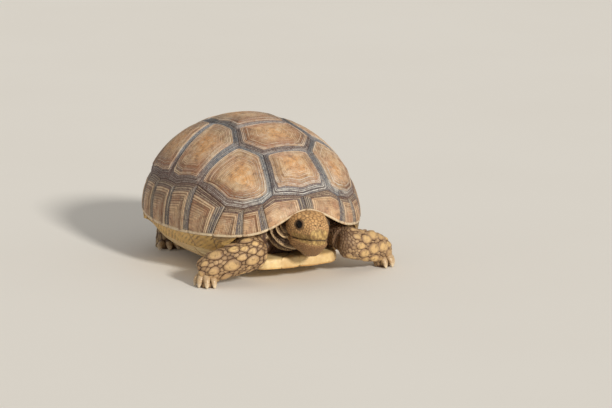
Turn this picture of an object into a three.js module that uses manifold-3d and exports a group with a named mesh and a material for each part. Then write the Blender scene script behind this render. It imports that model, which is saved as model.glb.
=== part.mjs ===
// A young African spurred tortoise at life size, crouching on folded forelegs, for a museum case.
// Millimetres, +Z up. The head points along -Y and the animal's left side is +X.
// The group is moved at the end so that its origin lies on the floor, under the middle of the whole animal.
import * as THREE from "three";
import { mergeVertices } from "three/addons/utils/BufferGeometryUtils.js";
import Module from "manifold-3d";

const wasm = await Module();
wasm.setup();

// ---------------------------------------------------------------- driving dimensions

const shell = {
  halfLength: 107.5, // the oval of the rim, before its flare
  halfWidth: 86.6,
  ovalPower: 2.29, // 2 is an ellipse, more is squarer
  rimHeight: 42,
  domeHeight: 86,
  rimWave: 2, // the rim is this much higher at both ends and lower at the flanks
  hoodRise: 20, // how far the front edge arches up over the neck
  hoodAngle: 0.205, // half-width of that arch, in radians round the rim
  notchDepth: 3,
  notchAngle: 0.12,
  flare: 2.6, // the front and rear edges turn out by this
  edgePower: 6.4, // how close to the rim the arch and the flare stay
};
const belly = {
  height: 11.3, // the underside's clearance over the floor
  slopeWidth: 30, // how far in from the rim the bridge comes down
  slopePower: 1.45,
  bridgeFront: 39, // the bridge runs between these angles from the nose, in degrees
  bridgeRear: 127,
  bridgeBlend: 8,
};
const GAP = 0.3;
const PLATE_SHRINK = 0.992; // draws each plate in from its seams
// A back plate's relief: [share of the way from its growth centre to its seams, height over the dome].
const plateRelief = [[0.3, 1.3], [0.72, 0.8], [0.957, -0.2], [PLATE_SHRINK, -1]];
// An edge plate's outer face: [share of the way from its seam to the rim, height over the dome].
const edgeRelief = [[0, -1], [0.12, -0.1], [0.55, 0.7]];
const EDGE_PLATE_DEPTH = 7.5;
const EDGE_PLATE_SEAM = 0.0022; // an edge plate stays this far out of its seam, on the unit disc
const PLATE_DEPTH = 10; // back plates start this thick, and the trunk is then cut from them
const TRUNK_INSET = 4.2; // the trunk lies this far under the shell's surface
const lip = { width: 12, thickness: 1.8, rise: 6.5 }; // the underside of the front and rear edge plates
const trunkEnds = { front: -77, rear: 80 };

const colours = {
  vertebral: 0xb08a63,
  costal: 0xae8962,
  marginal: 0xa8865f,
  plastron: 0xdcbc80,
  skin: 0x8f7350,
  head: 0x9a7d4f,
  eye: 0x15110e,
};

// Where the seams of the back plates meet, on a unit disc whose middle is the top of the dome and whose edge
// is the rim. Each pair is [to the side, towards the tail], for one side.
const seams = {
  v1Front: [0, -0.8],
  v1m1: [0.2, -0.726],
  m1m2: [0.281, -0.751],
  m2m3: [0.411, -0.725],
  m3m4: [0.518, -0.638],
  m4m5: [0.608, -0.36],
  m5m6: [0.722, -0.13],
  c2c3: [0.728, 0.007],
  m6m7: [0.722, 0.165],
  m7m8: [0.64, 0.395],
  c3c4: [0.6, 0.455],
  m8m9: [0.515, 0.575],
  m9m10: [0.39, 0.68],
  c4v5: [0.31, 0.715],
  m10m11: [0.26, 0.74],
  m11s: [0.135, 0.785],
  v5Rear: [0, 0.8],
  v1v2: [0.137, -0.443],
  v2c1c2: [0.23, -0.316],
  v2v3: [0.168, -0.163],
  v3c2c3: [0.226, 0.05],
  v3v4: [0.168, 0.205],
  v4c3c4: [0.215, 0.34],
  v4v5: [0.14, 0.475],
};
// The plates as the seam points round them. A vertebral plate's list is one half, mirrored for the other.
const vertebrals = [
  ["v1Front", "v1m1", "v1v2"],
  ["v1v2", "v2c1c2", "v2v3"],
  ["v2v3", "v3c2c3", "v3v4"],
  ["v3v4", "v4c3c4", "v4v5"],
  ["v4v5", "c4v5", "m10m11", "m11s", "v5Rear"],
];
const costals = [
  ["v1v2", "v1m1", "m1m2", "m2m3", "m3m4", "m4m5", "v2c1c2"],
  ["v2v3", "v2c1c2", "m4m5", "m5m6", "c2c3", "v3c2c3"],
  ["v3v4", "v3c2c3", "c2c3", "m6m7", "m7m8", "c3c4", "v4c3c4"],
  ["v4v5", "v4c3c4", "c3c4", "m8m9", "m9m10", "c4v5"],
];
const costalGrowthCentre = [0.42, 0.45, 0.45, 0.45]; // share of the way from the spine side to the rim side
// Inner edge of each edge plate, and the angle from the nose where its hind seam meets the rim, in degrees.
const marginals = [
  [["v1Front", "v1m1", "m1m2"], 18.2],
  [["m1m2", "m2m3"], 29.9],
  [["m2m3", "m3m4"], 45],
  [["m3m4", "m4m5"], 61.4],
  [["m4m5", "m5m6"], 80.2],
  [["m5m6", "c2c3", "m6m7"], 101.5],
  [["m6m7", "m7m8"], 121.2],
  [["m7m8", "c3c4", "m8m9"], 138],
  [["m8m9", "m9m10"], 151],
  [["m9m10", "c4v5", "m10m11"], 161.5],
  [["m10m11", "m11s"], 171],
];

// Plates of the underside: [to the side, towards the tail] in mm, for one side. A number alone is an angle
// from the nose, in degrees, on the line where the bridge meets the edge plates.
const plastron = {
  gular: [[0, -95], [7, -97.5], [18, -96.5], [0, -78]],
  humeral: [[0, -78], [18, -96.5], [32, -94], [39, -88], [43, -76], [48, -62], [0, -50]],
  pectoral: [[0, -50], [48, -62], 43, 50, 57, 65, [46, -34], [0, -40]],
  abdominal: [[0, -40], [46, -34], 65, 76, 87, 98, 109, 120, [42, 34], [0, 22]],
  femoral: [[0, 22], [42, 34], [38, 50], [30, 61], [24, 67], [0, 60]],
  anal: [[0, 60], [24, 67], [21, 82], [13, 88], [0, 78]],
};
const plastronThickness = { gular: 9.5, humeral: 9, pectoral: 6, abdominal: 6, femoral: 6, anal: 5.5 };

// The head is turned a little to its right and its left side hangs lower, growing from none at the nape:
// the sideways shift for each mm forward, and the drop for each mm to the left once it is fully tilted.
const headTurn = { slope: 0.065, tilt: 0.1, nape: -102, tiltedBy: -118 };
// Rings of the head from beak to nape: [y, half-width, top, bottom].
const skullRings = [
  [-135.4, 4.2, 50, 43],
  [-134.4, 7.4, 53.4, 41.9],
  [-131.4, 10.2, 57.4, 41.8],
  [-126, 12.9, 60.8, 40.6],
  [-119.5, 15.5, 63, 39.2],
  [-113, 17.4, 63.6, 38.3],
  [-105.5, 18.2, 61.4, 37.6],
  [-97, 15.5, 59, 37.5],
];
const jawRings = [
  [-133.6, 4, 47, 39],
  [-131.8, 7.4, 47, 35.6],
  [-127, 10.8, 46, 31.8],
  [-119, 14, 46, 28.8],
  [-110, 15.8, 46, 28.6],
  [-100, 14.5, 46, 30],
];
const HEAD_SQUARENESS = 2.35;
const eye = { radius: 4.7, x: 10.5, y: -121.8, z: 53.4, lidGap: 0.35 };
// Rings of the loose skin round the nape: [y, half-width, top, bottom].
const neckRings = [
  [-70, 23, 58, 24],
  [-84, 24.5, 57, 23.5],
  [-89, 24, 56.5, 24.5],
  [-92.5, 21.5, 55, 27],
  [-96.5, 22, 56.5, 26.5],
  [-101, 19.2, 55.5, 29],
];
const NECK_SQUARENESS = 2.2;

// Limbs as [x, y, z, half-width across, half-height], x for the left side.
const foreleg = {
  upperArm: [
    [43, -64, 36, 10, 11],
    [43.5, -81, 34, 11, 12],
    [42, -94, 30.5, 10, 11.5],
  ],
  forearm: [
    [36.5, -98, 30, 6, 8],
    [41, -98.8, 29.4, 10.5, 12.8],
    [51, -96.2, 26, 11.5, 13.5],
    [61, -91.5, 22.6, 11, 13.4],
    [72, -86, 18.6, 10.5, 13],
    [81, -81.5, 14.8, 9.5, 11.5],
    [87, -79, 12.4, 6.5, 8],
  ],
  palm: [
    [80.5, -81.5, 17, 8, 8],
    [81.5, -82, 8, 7.5, 7.5],
    [82, -82, -3, 7.2, 7.2],
  ],
  claws: [
    { from: [79.5, -87, 7.5], to: [80, -92, 0.6] },
    { from: [84, -86, 8], to: [86, -90.5, 0.6] },
    { from: [86, -82.5, 8.5], to: [89.5, -84.5, 0.8] },
    { from: [86, -78, 9], to: [89.5, -77, 1.4] },
    { from: [82.5, -75, 9], to: [84.5, -71, 1.6] },
  ],
  reach: { left: 1.13, right: 1 }, // the left forearm is stretched out further from the elbow
  reachFrom: 39,
};
const hindleg = {
  thigh: [
    [36, 62, 36, 12, 12],
    [40, 70, 32, 13.5, 14],
    [43, 77, 24, 12.5, 12.5],
  ],
  foot: [
    [42.5, 76, 30, 11, 11],
    [43, 76, 12, 12.2, 11.7],
    [43.5, 75, -3, 13.5, 12.5],
  ],
  claws: [
    { from: [37, 65, 5], to: [36, 59, 0.6] },
    { from: [43, 64, 5.2], to: [43, 57, 0.5] },
    { from: [49, 65, 5.2], to: [51, 58.5, 0.5] },
    { from: [54, 69, 5], to: [59, 64, 0.6] },
  ],
};
const claws = { root: 2.9, tip: 0.7 }; // radii
const tail = [
  [0, 76, 33, 9.5, 8.5],
  [0, 86, 30.5, 7.5, 7],
  [0, 94, 26, 5, 5],
  [0, 101, 21, 1.6, 1.6],
];

// ---------------------------------------------------------------- solids from rings

const radians = THREE.MathUtils.degToRad;
const mix = (a, b, t) => a + (b - a) * t;
const vector = (x, y, z) => new THREE.Vector3(x, y, z);

// A closed surface through rings of equally many points, with a fan to the middle of each end ring.
function loft(rings) {
  const count = rings[0].length;
  const middle = (ring) => ring.reduce((sum, p) => sum.add(p), vector(0, 0, 0)).divideScalar(count);
  const points = [...rings.flat(), middle(rings[0]), middle(rings.at(-1))];
  const faces = [];
  for (let r = 0; r + 1 < rings.length; r++)
    for (let i = 0; i < count; i++) {
      const a = r * count + i;
      const b = r * count + ((i + 1) % count);
      faces.push(a, b, a + count, b, b + count, a + count);
    }
  const last = (rings.length - 1) * count;
  for (let i = 0; i < count; i++) {
    const next = (i + 1) % count;
    faces.push(next, i, points.length - 2, last + i, last + next, points.length - 1);
  }
  const geometry = new THREE.BufferGeometry().setFromPoints(points);
  geometry.setIndex(faces);
  return geometry;
}

function solid(geometry) {
  const bare = geometry.clone();
  bare.deleteAttribute("normal");
  bare.deleteAttribute("uv");
  const merged = mergeVertices(bare, 1e-3);
  const make = (triVerts) =>
    new wasm.Manifold(new wasm.Mesh({
      numProp: 3,
      vertProperties: new Float32Array(merged.attributes.position.array),
      triVerts,
    }));
  const faces = new Uint32Array(merged.index.array);
  const made = make(faces);
  return made.volume() > 0 ? made : make(faces.reverse());
}

function geometryOf(manifold) {
  const mesh = manifold.getMesh();
  return new THREE.BufferGeometry()
    .setAttribute("position", new THREE.BufferAttribute(mesh.vertProperties, 3))
    .setIndex(new THREE.BufferAttribute(mesh.triVerts, 1));
}

function block(x, y, z, width, depth, height) {
  return solid(new THREE.BoxGeometry(width, depth, height).translate(x, y, z));
}

const aboveFloor = block(0, 0, 200, 600, 600, 400);

// ---------------------------------------------------------------- the shell's surface

const fromNose = (x, y) => Math.atan2(x, -y);
const bell = (angle, width) => Math.exp(-((angle / width) ** 2) / 2);

function ovalRadius(angle) {
  const along = Math.abs(Math.cos(angle)) / shell.halfLength;
  const across = Math.abs(Math.sin(angle)) / shell.halfWidth;
  return (along ** shell.ovalPower + across ** shell.ovalPower) ** (-1 / shell.ovalPower);
}

// A point of the dome: angle from the nose, and rho from 0 at the top to 1 at the rim.
function dome(angle, rho, inset = 0) {
  const edge = rho ** shell.edgePower;
  const flare = shell.flare * Math.cos(angle) ** 2 - shell.notchDepth * bell(angle, shell.notchAngle);
  const radius = (ovalRadius(angle) - inset) * Math.sin((rho * Math.PI) / 2) + edge * flare;
  const rise = shell.rimWave * Math.cos(2 * angle) + shell.hoodRise * bell(angle, shell.hoodAngle);
  const height = shell.rimHeight + edge * rise + (shell.domeHeight - inset) * Math.cos((rho * Math.PI) / 2);
  return vector(radius * Math.sin(angle), -radius * Math.cos(angle), height);
}

// A point of the disc chart, lifted off the dome along its normal.
function lifted([x, y], height) {
  const at = (px, py) => dome(fromNose(px, py), Math.min(1, Math.hypot(px, py)));
  const step = 0.01;
  const point = at(x, y);
  const alongX = at(x + step, y).sub(at(x - step, y));
  const alongY = at(x, y + step).sub(at(x, y - step));
  return point.add(alongX.cross(alongY).normalize().multiplyScalar(height));
}

const rimPoint = (angle) => dome(angle, 1);

function bridgeShare(angle) {
  const degrees = THREE.MathUtils.radToDeg(Math.abs(angle));
  const { bridgeFront, bridgeRear, bridgeBlend } = belly;
  return THREE.MathUtils.smoothstep(degrees, bridgeFront - bridgeBlend, bridgeFront + bridgeBlend)
    - THREE.MathUtils.smoothstep(degrees, bridgeRear - bridgeBlend, bridgeRear + bridgeBlend);
}

// Height of the underside where the bridge comes down from the rim.
function undersideHeight(x, y) {
  const angle = fromNose(x, y);
  const rim = rimPoint(angle);
  const inward = (Math.hypot(rim.x, rim.y) - Math.hypot(x, y)) / belly.slopeWidth;
  const left = THREE.MathUtils.clamp(1 - inward, 0, 1) ** belly.slopePower;
  return belly.height + (rim.z - belly.height) * left * bridgeShare(angle);
}

// A point of an edge plate's underside, from 0 at the rim to 1 at its inner edge.
function edgeUnderside(angle, share) {
  const rim = rimPoint(angle);
  const bridge = bridgeShare(angle);
  const radius = Math.hypot(rim.x, rim.y) - lip.width * share;
  const x = radius * Math.sin(angle);
  const y = -radius * Math.cos(angle);
  return vector(x, y, mix(rim.z - lip.thickness + lip.rise * share, undersideHeight(x, y), bridge));
}

// ---------------------------------------------------------------- the trunk

// The closed form of the shell from the top of its dome to its flat belly, drawn in by an inset.
function shellForm(inset) {
  const rhos = [0.22, 0.45, 0.66, 0.84, 1];
  const sides = 20;
  const angles = Array.from({ length: sides }, (_, i) => (2 * Math.PI * i) / sides);
  const ring = (rho) => angles.map((angle) => dome(angle, rho, inset));
  const bellyRing = (share) =>
    angles.map((angle) => {
      const rim = rimPoint(angle);
      const radius = Math.hypot(rim.x, rim.y) - inset - belly.slopeWidth * share;
      const height = belly.height + inset + (rim.z - belly.height) * (1 - share) ** belly.slopePower;
      return vector(radius * Math.sin(angle), -radius * Math.cos(angle), height);
    });
  return loft([...rhos.map(ring), bellyRing(0.35), bellyRing(0.7), bellyRing(1)]);
}

function trunkSolid(grow) {
  const length = trunkEnds.rear - trunkEnds.front + 2 * grow;
  const middle = (trunkEnds.rear + trunkEnds.front) / 2;
  const floor = belly.height + plastronThickness.abdominal + GAP - grow;
  return solid(shellForm(TRUNK_INSET - grow)).intersect(block(0, middle, floor + 100, 300, length, 200));
}

const trunk = trunkSolid(0);
const trunkGrown = trunkSolid(GAP);

// ---------------------------------------------------------------- the back plates

function subdivided(corners, longest) {
  return corners.flatMap((a, i) => {
    const b = corners[(i + 1) % corners.length];
    const pieces = Math.max(1, Math.ceil(Math.hypot(b[0] - a[0], b[1] - a[1]) / longest));
    return Array.from({ length: pieces }, (_, k) => a.map((value, axis) => mix(value, b[axis], k / pieces)));
  });
}

// One plate of the dome: a rim in the seam, a growth terrace and a raised middle.
function domePlate(corners, centre) {
  const outline = subdivided(corners, 0.21);
  const scaled = (share, height) =>
    outline.map(([x, y]) => lifted([mix(centre[0], x, share), mix(centre[1], y, share)], height));
  const outer = plateRelief.map(([share, height]) => scaled(share, height));
  return solid(loft([...outer, scaled(PLATE_SHRINK, -PLATE_DEPTH)])).subtract(trunkGrown);
}

const mirrored = ([x, y]) => [-x, y];

function vertebralPlate(names) {
  const half = names.map((name) => seams[name]);
  const other = half.filter(([x]) => x > 0).map(mirrored).reverse();
  const outline = [...half, ...other];
  const tailward = outline.reduce((sum, [, y]) => sum + y, 0) / outline.length;
  return domePlate(outline, [0, tailward]);
}

function costalPlate(names, centreShare, side) {
  const outline = names.map((name) => [side * seams[name][0], seams[name][1]]);
  const xs = outline.map(([x]) => x);
  const spine = Math.abs(xs.reduce((a, b) => (Math.abs(b) < Math.abs(a) ? b : a)));
  const rim = Math.max(...xs.map(Math.abs));
  const tailward = outline.reduce((sum, [, y]) => sum + y, 0) / outline.length;
  return domePlate(outline, [side * mix(spine, rim, centreShare), tailward]);
}

// An edge plate: a cross-section from its seam over the rim and back underneath, swept along the rim.
function edgePlate(inner, startDegrees, endDegrees, side) {
  const stations = Math.ceil((endDegrees - startDegrees) / 7) + 1;
  const lengths = inner.slice(1).map((p, i) => Math.hypot(p[0] - inner[i][0], p[1] - inner[i][1]));
  const sum = (values) => values.reduce((a, b) => a + b, 0);
  const total = sum(lengths);
  const innerPoint = (share) => {
    let left = share * total;
    let i = 0;
    while (i < lengths.length - 1 && left > lengths[i]) left -= lengths[i++];
    const [a, b] = [inner[i], inner[i + 1]];
    return [mix(a[0], b[0], left / lengths[i]), mix(a[1], b[1], left / lengths[i])];
  };
  const length = radians(endDegrees - startDegrees) * (shell.halfLength + shell.halfWidth) / 2;
  const drawnIn = GAP / 2 / length;
  // The seam's own corners are stations too, so that the plate meets its neighbours along them.
  const corners = lengths.slice(0, -1).map((_, i) => sum(lengths.slice(0, i + 1)) / total);
  const even = Array.from({ length: stations }, (_, i) => i / (stations - 1));
  const rings = [...even, ...corners].sort((a, b) => a - b).map((share) => {
    const along = mix(drawnIn, 1 - drawnIn, share);
    const seam = innerPoint(along);
    const angle = radians(mix(startDegrees, endDegrees, along));
    const seamAngle = (fromNose(seam[0], seam[1]) + 2 * Math.PI) % (2 * Math.PI);
    const seamRho = Math.hypot(seam[0], seam[1]) + EDGE_PLATE_SEAM;
    const top = ([out, height]) => {
      const outAngle = mix(seamAngle, angle, out);
      const rho = mix(seamRho, 1, out);
      return lifted([rho * Math.sin(outAngle), -rho * Math.cos(outAngle)], height);
    };
    const underneath = [0.2, 1].map((inward) => edgeUnderside(angle, inward));
    return [...edgeRelief.map(top), rimPoint(angle), ...underneath, top([0, -EDGE_PLATE_DEPTH])]
      .map((p) => vector(side * p.x, p.y, p.z));
  });
  return solid(loft(rings)).subtract(trunkGrown);
}

// ---------------------------------------------------------------- the underside plates

function plastronPlate(name, side) {
  const outline = plastron[name].flatMap((p) => {
    if (typeof p !== "number") return [p];
    const angle = radians(p);
    const rim = rimPoint(angle);
    const radius = Math.hypot(rim.x, rim.y) - lip.width - 2 * GAP;
    return [[radius * Math.sin(angle), -radius * Math.cos(angle)]];
  });
  const points = subdivided(outline, 24);
  const centre = points.reduce(([x, y], p) => [x + p[0] / points.length, y + p[1] / points.length], [0, 0]);
  const drawnIn = (share) =>
    points.map((p) => p.map((value, axis) => mix(centre[axis], value, share * PLATE_SHRINK)));
  const thickness = plastronThickness[name];
  const ring = (share, lift) =>
    drawnIn(share).map(([x, y]) => vector(side * Math.max(x, GAP / 2), y, undersideHeight(x, y) + lift));
  return solid(loft([ring(0.55, 0), ring(0.94, 0), ring(1, 0.5), ring(1, thickness), ring(0.55, thickness)]))
    .subtract(trunkGrown);
}

// ---------------------------------------------------------------- flesh

// How far to the side the head's turn takes a place along it, and how far its tilt lifts a place beside it.
const turned = (y) => headTurn.slope * Math.min(0, y - headTurn.nape);
const tilted = (x, y) =>
  -headTurn.tilt * x * THREE.MathUtils.clamp((headTurn.nape - y) / (headTurn.nape - headTurn.tiltedBy), 0, 1);

// Rings across the body along Y, as superellipses.
function crossRings(stations, squareness, grow, count) {
  return stations.map(([y, halfWidth, top, bottom], i) => {
    const end = i === 0 ? -grow : i === stations.length - 1 ? grow : 0;
    const halfHeight = (top - bottom) / 2 + grow;
    return Array.from({ length: count }, (_, k) => {
      const angle = (2 * Math.PI * k) / count;
      const across = Math.sign(Math.cos(angle)) * Math.abs(Math.cos(angle)) ** (2 / squareness);
      const up = Math.sign(Math.sin(angle)) * Math.abs(Math.sin(angle)) ** (2 / squareness);
      const x = across * (halfWidth + grow);
      return vector(turned(y) + x, y + end, (top + bottom) / 2 + up * halfHeight + tilted(x, y));
    });
  });
}

const skullSolid = (grow) => solid(loft(crossRings(skullRings, HEAD_SQUARENESS, grow, 14)));
const jawSolid = (grow) => solid(loft(crossRings(jawRings, HEAD_SQUARENESS, grow, 12)));

function eyeSolid(radius, side) {
  const x = side * eye.x;
  const ball = new THREE.SphereGeometry(radius, 10, 7);
  return solid(ball.translate(turned(eye.y) + x, eye.y, eye.z + tilted(x, eye.y)));
}

function headSolid() {
  const [right, left] = [-1, 1].map((side) => eyeSolid(eye.radius + eye.lidGap, side));
  return skullSolid(0).subtract(right).subtract(left);
}

function neckSolid() {
  return solid(loft(crossRings(neckRings, NECK_SQUARENESS, 0, 14)))
    .subtract(skullSolid(GAP))
    .subtract(jawSolid(GAP))
    .subtract(trunkGrown);
}

// A limb: oval rings square to a path of [x, y, z, half-width, half-height].
function limb(path, side, count = 12) {
  const centres = path.map(([x, y, z]) => vector(side * x, y, z));
  const rings = path.map(([, , , halfWidth, halfHeight], i) => {
    const next = centres[Math.min(i + 1, path.length - 1)];
    const along = next.clone().sub(centres[Math.max(i - 1, 0)]).normalize();
    const steep = Math.abs(along.z) > 0.85;
    const across = (steep ? vector(0, 1, 0) : vector(0, 0, 1)).cross(along).normalize();
    const up = along.clone().cross(across);
    return Array.from({ length: count }, (_, k) => {
      const angle = (2 * Math.PI * k) / count;
      return centres[i].clone()
        .addScaledVector(across, halfWidth * Math.cos(angle))
        .addScaledVector(up, halfHeight * Math.sin(angle));
    });
  });
  return solid(loft(rings));
}

function claw({ from, to }, side) {
  return limb([[...from, claws.root, claws.root], [...to, claws.tip, claws.tip]], side, 6);
}

function legSolid(paths, toes, side) {
  const pieces = [...paths.map((path) => limb(path, side)), ...toes.map((toe) => claw(toe, side))];
  return pieces.reduce((a, b) => a.add(b)).intersect(aboveFloor).subtract(trunkGrown);
}

function forelegSolid(word, side) {
  const out = ([x, ...rest]) => [foreleg.reachFrom + (x - foreleg.reachFrom) * foreleg.reach[word], ...rest];
  const toes = foreleg.claws.map(({ from, to }) => ({ from: out(from), to: out(to) }));
  return legSolid([foreleg.upperArm, foreleg.forearm.map(out), foreleg.palm.map(out)], toes, side);
}

// ---------------------------------------------------------------- assembly

const tortoise = new THREE.Group();

function add(name, manifold, colour, roughness = 0.75) {
  const material = new THREE.MeshStandardMaterial({ color: colour, roughness, metalness: 0 });
  const mesh = new THREE.Mesh(geometryOf(manifold), material);
  mesh.name = name;
  tortoise.add(mesh);
}

const sides = { left: 1, right: -1 };

add("trunk", trunk, colours.skin);
vertebrals.forEach((names, i) => add(`vertebral_${i + 1}`, vertebralPlate(names), colours.vertebral));
for (const [word, side] of Object.entries(sides)) {
  costals.forEach((names, i) =>
    add(`costal_${word}_${i + 1}`, costalPlate(names, costalGrowthCentre[i], side), colours.costal));
  marginals.forEach(([names, end], i) => {
    const start = i ? marginals[i - 1][1] : 0;
    const plate = edgePlate(names.map((n) => seams[n]), start, end, side);
    add(`marginal_${word}_${i + 1}`, plate, colours.marginal);
  });
  for (const name of Object.keys(plastron))
    add(`${name}_${word}`, plastronPlate(name, side), colours.plastron);
}
const lastSeam = marginals.at(-1)[1];
add("supracaudal", edgePlate([seams.m11s, seams.v5Rear, mirrored(seams.m11s)], lastSeam, 360 - lastSeam, 1),
  colours.marginal);

add("head", headSolid(), colours.head, 0.6);
add("lower_jaw", jawSolid(0).subtract(skullSolid(GAP)), colours.head, 0.6);
add("neck", neckSolid(), colours.skin);
add("tail", limb(tail, 1, 12).subtract(trunkGrown), colours.skin);
for (const [word, side] of Object.entries(sides)) {
  add(`eye_${word}`, eyeSolid(eye.radius, side), colours.eye, 0.15);
  add(`foreleg_${word}`, forelegSolid(word, side), colours.skin);
  add(`hindleg_${word}`, legSolid([hindleg.thigh, hindleg.foot], hindleg.claws, side), colours.skin);
}

const reach = new THREE.Box3().setFromObject(tortoise);
const middle = reach.getCenter(vector(0, 0, 0));
tortoise.position.set(-middle.x, -middle.y, -reach.min.z);

export default tortoise;
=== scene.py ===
"""A young African spurred tortoise at life size: horn plates, scaly skin, head, eyes and claws."""

import math

import bmesh
import bpy
import numpy as np
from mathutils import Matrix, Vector
from mathutils.bvhtree import BVHTree


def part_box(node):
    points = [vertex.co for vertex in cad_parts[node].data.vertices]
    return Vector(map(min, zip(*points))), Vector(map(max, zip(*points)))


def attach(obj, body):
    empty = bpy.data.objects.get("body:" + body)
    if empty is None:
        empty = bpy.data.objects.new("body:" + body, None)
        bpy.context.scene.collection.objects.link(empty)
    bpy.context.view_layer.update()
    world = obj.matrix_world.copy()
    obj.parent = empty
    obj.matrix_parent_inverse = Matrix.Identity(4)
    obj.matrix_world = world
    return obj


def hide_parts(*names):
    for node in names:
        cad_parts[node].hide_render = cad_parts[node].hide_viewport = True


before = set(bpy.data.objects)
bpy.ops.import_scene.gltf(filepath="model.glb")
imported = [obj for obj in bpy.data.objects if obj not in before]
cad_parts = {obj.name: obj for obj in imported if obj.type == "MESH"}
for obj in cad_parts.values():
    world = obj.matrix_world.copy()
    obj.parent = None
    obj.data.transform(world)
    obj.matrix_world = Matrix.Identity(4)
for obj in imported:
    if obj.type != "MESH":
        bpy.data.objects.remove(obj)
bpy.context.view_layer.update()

# ---------------------------------------------------------------- places and sizes
# The forms are worked out in millimetres from the middle of the shell, on the floor, and placed in metres.
# The head points along -Y, the left side is +X.

MM = 0.001
HALF_LENGTH, HALF_WIDTH, OVAL_POWER = 107.5, 86.6, 2.29
RIM_HEIGHT, DOME_HEIGHT, RIM_WAVE = 42, 86, 2
HOOD_RISE, HOOD_ANGLE = 20, 0.205
NOTCH_DEPTH, NOTCH_ANGLE = 3, 0.12
FLARE, EDGE_POWER = 2.6, 6.4
BELLY_HEIGHT, SLOPE_WIDTH, SLOPE_POWER = 11.3, 30, 1.45
BRIDGE_FRONT, BRIDGE_REAR, BRIDGE_BLEND = 39, 127, 8
LIP_WIDTH, LIP_THICKNESS, LIP_RISE = 12, 2.0, 6.5
GAP = 0.3

shell_middle = np.array([
    (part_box("marginal_left_6")[1].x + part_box("marginal_right_6")[0].x) / 2,
    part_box("supracaudal")[1].y - (HALF_LENGTH + FLARE) * MM,
    0.0,
])


def metres(points):
    return np.asarray(points, float) * MM + shell_middle


def mix(a, b, share):
    return a + (b - a) * share


def smooth(value, low, high):
    t = np.clip((np.asarray(value, float) - low) / (high - low), 0, 1)
    return t * t * (3 - 2 * t)


def unit(vectors):
    return vectors / np.maximum(np.linalg.norm(vectors, axis=-1, keepdims=True), 1e-9)


def mesh_piece(name, points, faces, material, attributes=None, crease_angle=60):
    """A piece from points in mm, with one value per point for each named attribute."""
    mesh = bpy.data.meshes.new(name)
    mesh.from_pydata(metres(points).tolist(), [], faces)
    for key, values in (attributes or {}).items():
        layer = mesh.attributes.new(key, "FLOAT", "POINT")
        layer.data.foreach_set("value", np.asarray(values, np.float32).ravel())
    mesh.materials.append(material)
    piece = bpy.data.objects.new(name, mesh)
    bpy.context.scene.collection.objects.link(piece)
    mesh.set_sharp_from_angle(angle=math.radians(crease_angle))
    mesh.polygons.foreach_set("use_smooth", [True] * len(mesh.polygons))
    return piece


def tube_faces(rows, count):
    """Quads joining rows of equally many points."""
    r = np.arange(rows - 1)[:, None] * count
    i = np.arange(count)[None, :]
    j = (i + 1) % count
    return np.stack([r + i, r + j, r + count + j, r + count + i], -1).reshape(-1, 4).tolist()


def outward(points, faces):
    """The faces turned to point out of their closed form."""
    p = np.asarray(points, float)
    p = p - p.mean(0)
    a, b, c, d = (p[k] for k in np.array([f for f in faces if len(f) == 4]).T)
    volume = (a * np.cross(b, c)).sum() + (a * np.cross(c, d)).sum()
    return faces if volume > 0 else [tuple(reversed(f)) for f in faces]


def closed_tube(grid):
    """Points and faces of a closed form through rings of points, with a cap at each end."""
    rows, count = grid.shape[:2]
    points = np.concatenate([grid.reshape(-1, 3), [grid[0].mean(0), grid[-1].mean(0)]])
    last = (rows - 1) * count
    faces = tube_faces(rows, count)
    faces += [(rows * count, (i + 1) % count, i) for i in range(count)]
    faces += [(rows * count + 1, last + i, last + (i + 1) % count) for i in range(count)]
    return points, outward(points, faces)


def with_caps(values):
    """Values given ring by ring, with one more for the middle of each cap."""
    return {key: np.concatenate([np.ravel(v), [v[0][0], v[-1][0]]]) for key, v in values.items()}


def bump(distance, width):
    return np.exp(-((distance / width) ** 2))


# ---------------------------------------------------------------- the shell's surface


def bell(angle, width):
    return np.exp(-((angle / width) ** 2) / 2)


def oval_radius(angle):
    along = np.abs(np.cos(angle)) / HALF_LENGTH
    across = np.abs(np.sin(angle)) / HALF_WIDTH
    return (along ** OVAL_POWER + across ** OVAL_POWER) ** (-1 / OVAL_POWER)


def dome(angle, rho):
    """A point of the dome: angle from the nose, and rho from 0 at the top to 1 at the rim."""
    edge = rho ** EDGE_POWER
    flare = FLARE * np.cos(angle) ** 2 - NOTCH_DEPTH * bell(angle, NOTCH_ANGLE)
    radius = oval_radius(angle) * np.sin(rho * np.pi / 2) + edge * flare
    rise = RIM_WAVE * np.cos(2 * angle) + HOOD_RISE * bell(angle, HOOD_ANGLE)
    height = RIM_HEIGHT + edge * rise + DOME_HEIGHT * np.cos(rho * np.pi / 2)
    return np.stack([radius * np.sin(angle), -radius * np.cos(angle), height], -1)


def chart(x, y):
    """A point of the dome from the unit disc: x to the side, y towards the tail."""
    return dome(np.arctan2(x, -y), np.minimum(1, np.hypot(x, y)))


def lifted(x, y, height):
    step = 0.01
    along_x = chart(x + step, y) - chart(x - step, y)
    along_y = chart(x, y + step) - chart(x, y - step)
    return chart(x, y) + unit(np.cross(along_x, along_y)) * np.asarray(height)[..., None]


def wander(x, y):
    """Seams are never quite straight: shifts a place of the unit disc a little, alike for all plates."""
    fade = 1 - np.clip(np.hypot(x, y), 0, 1) ** 8
    dx = 0.0018 * np.sin(19 * y + 1.3) + 0.0003 * np.sin(51 * y + 19 * x + 0.4)
    dy = 0.0018 * np.sin(17 * x + 2.1) + 0.0003 * np.sin(47 * x - 23 * y + 1.9)
    return x + dx * fade, y + dy * fade


def rim_point(angle):
    return dome(angle, np.ones_like(angle))


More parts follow.
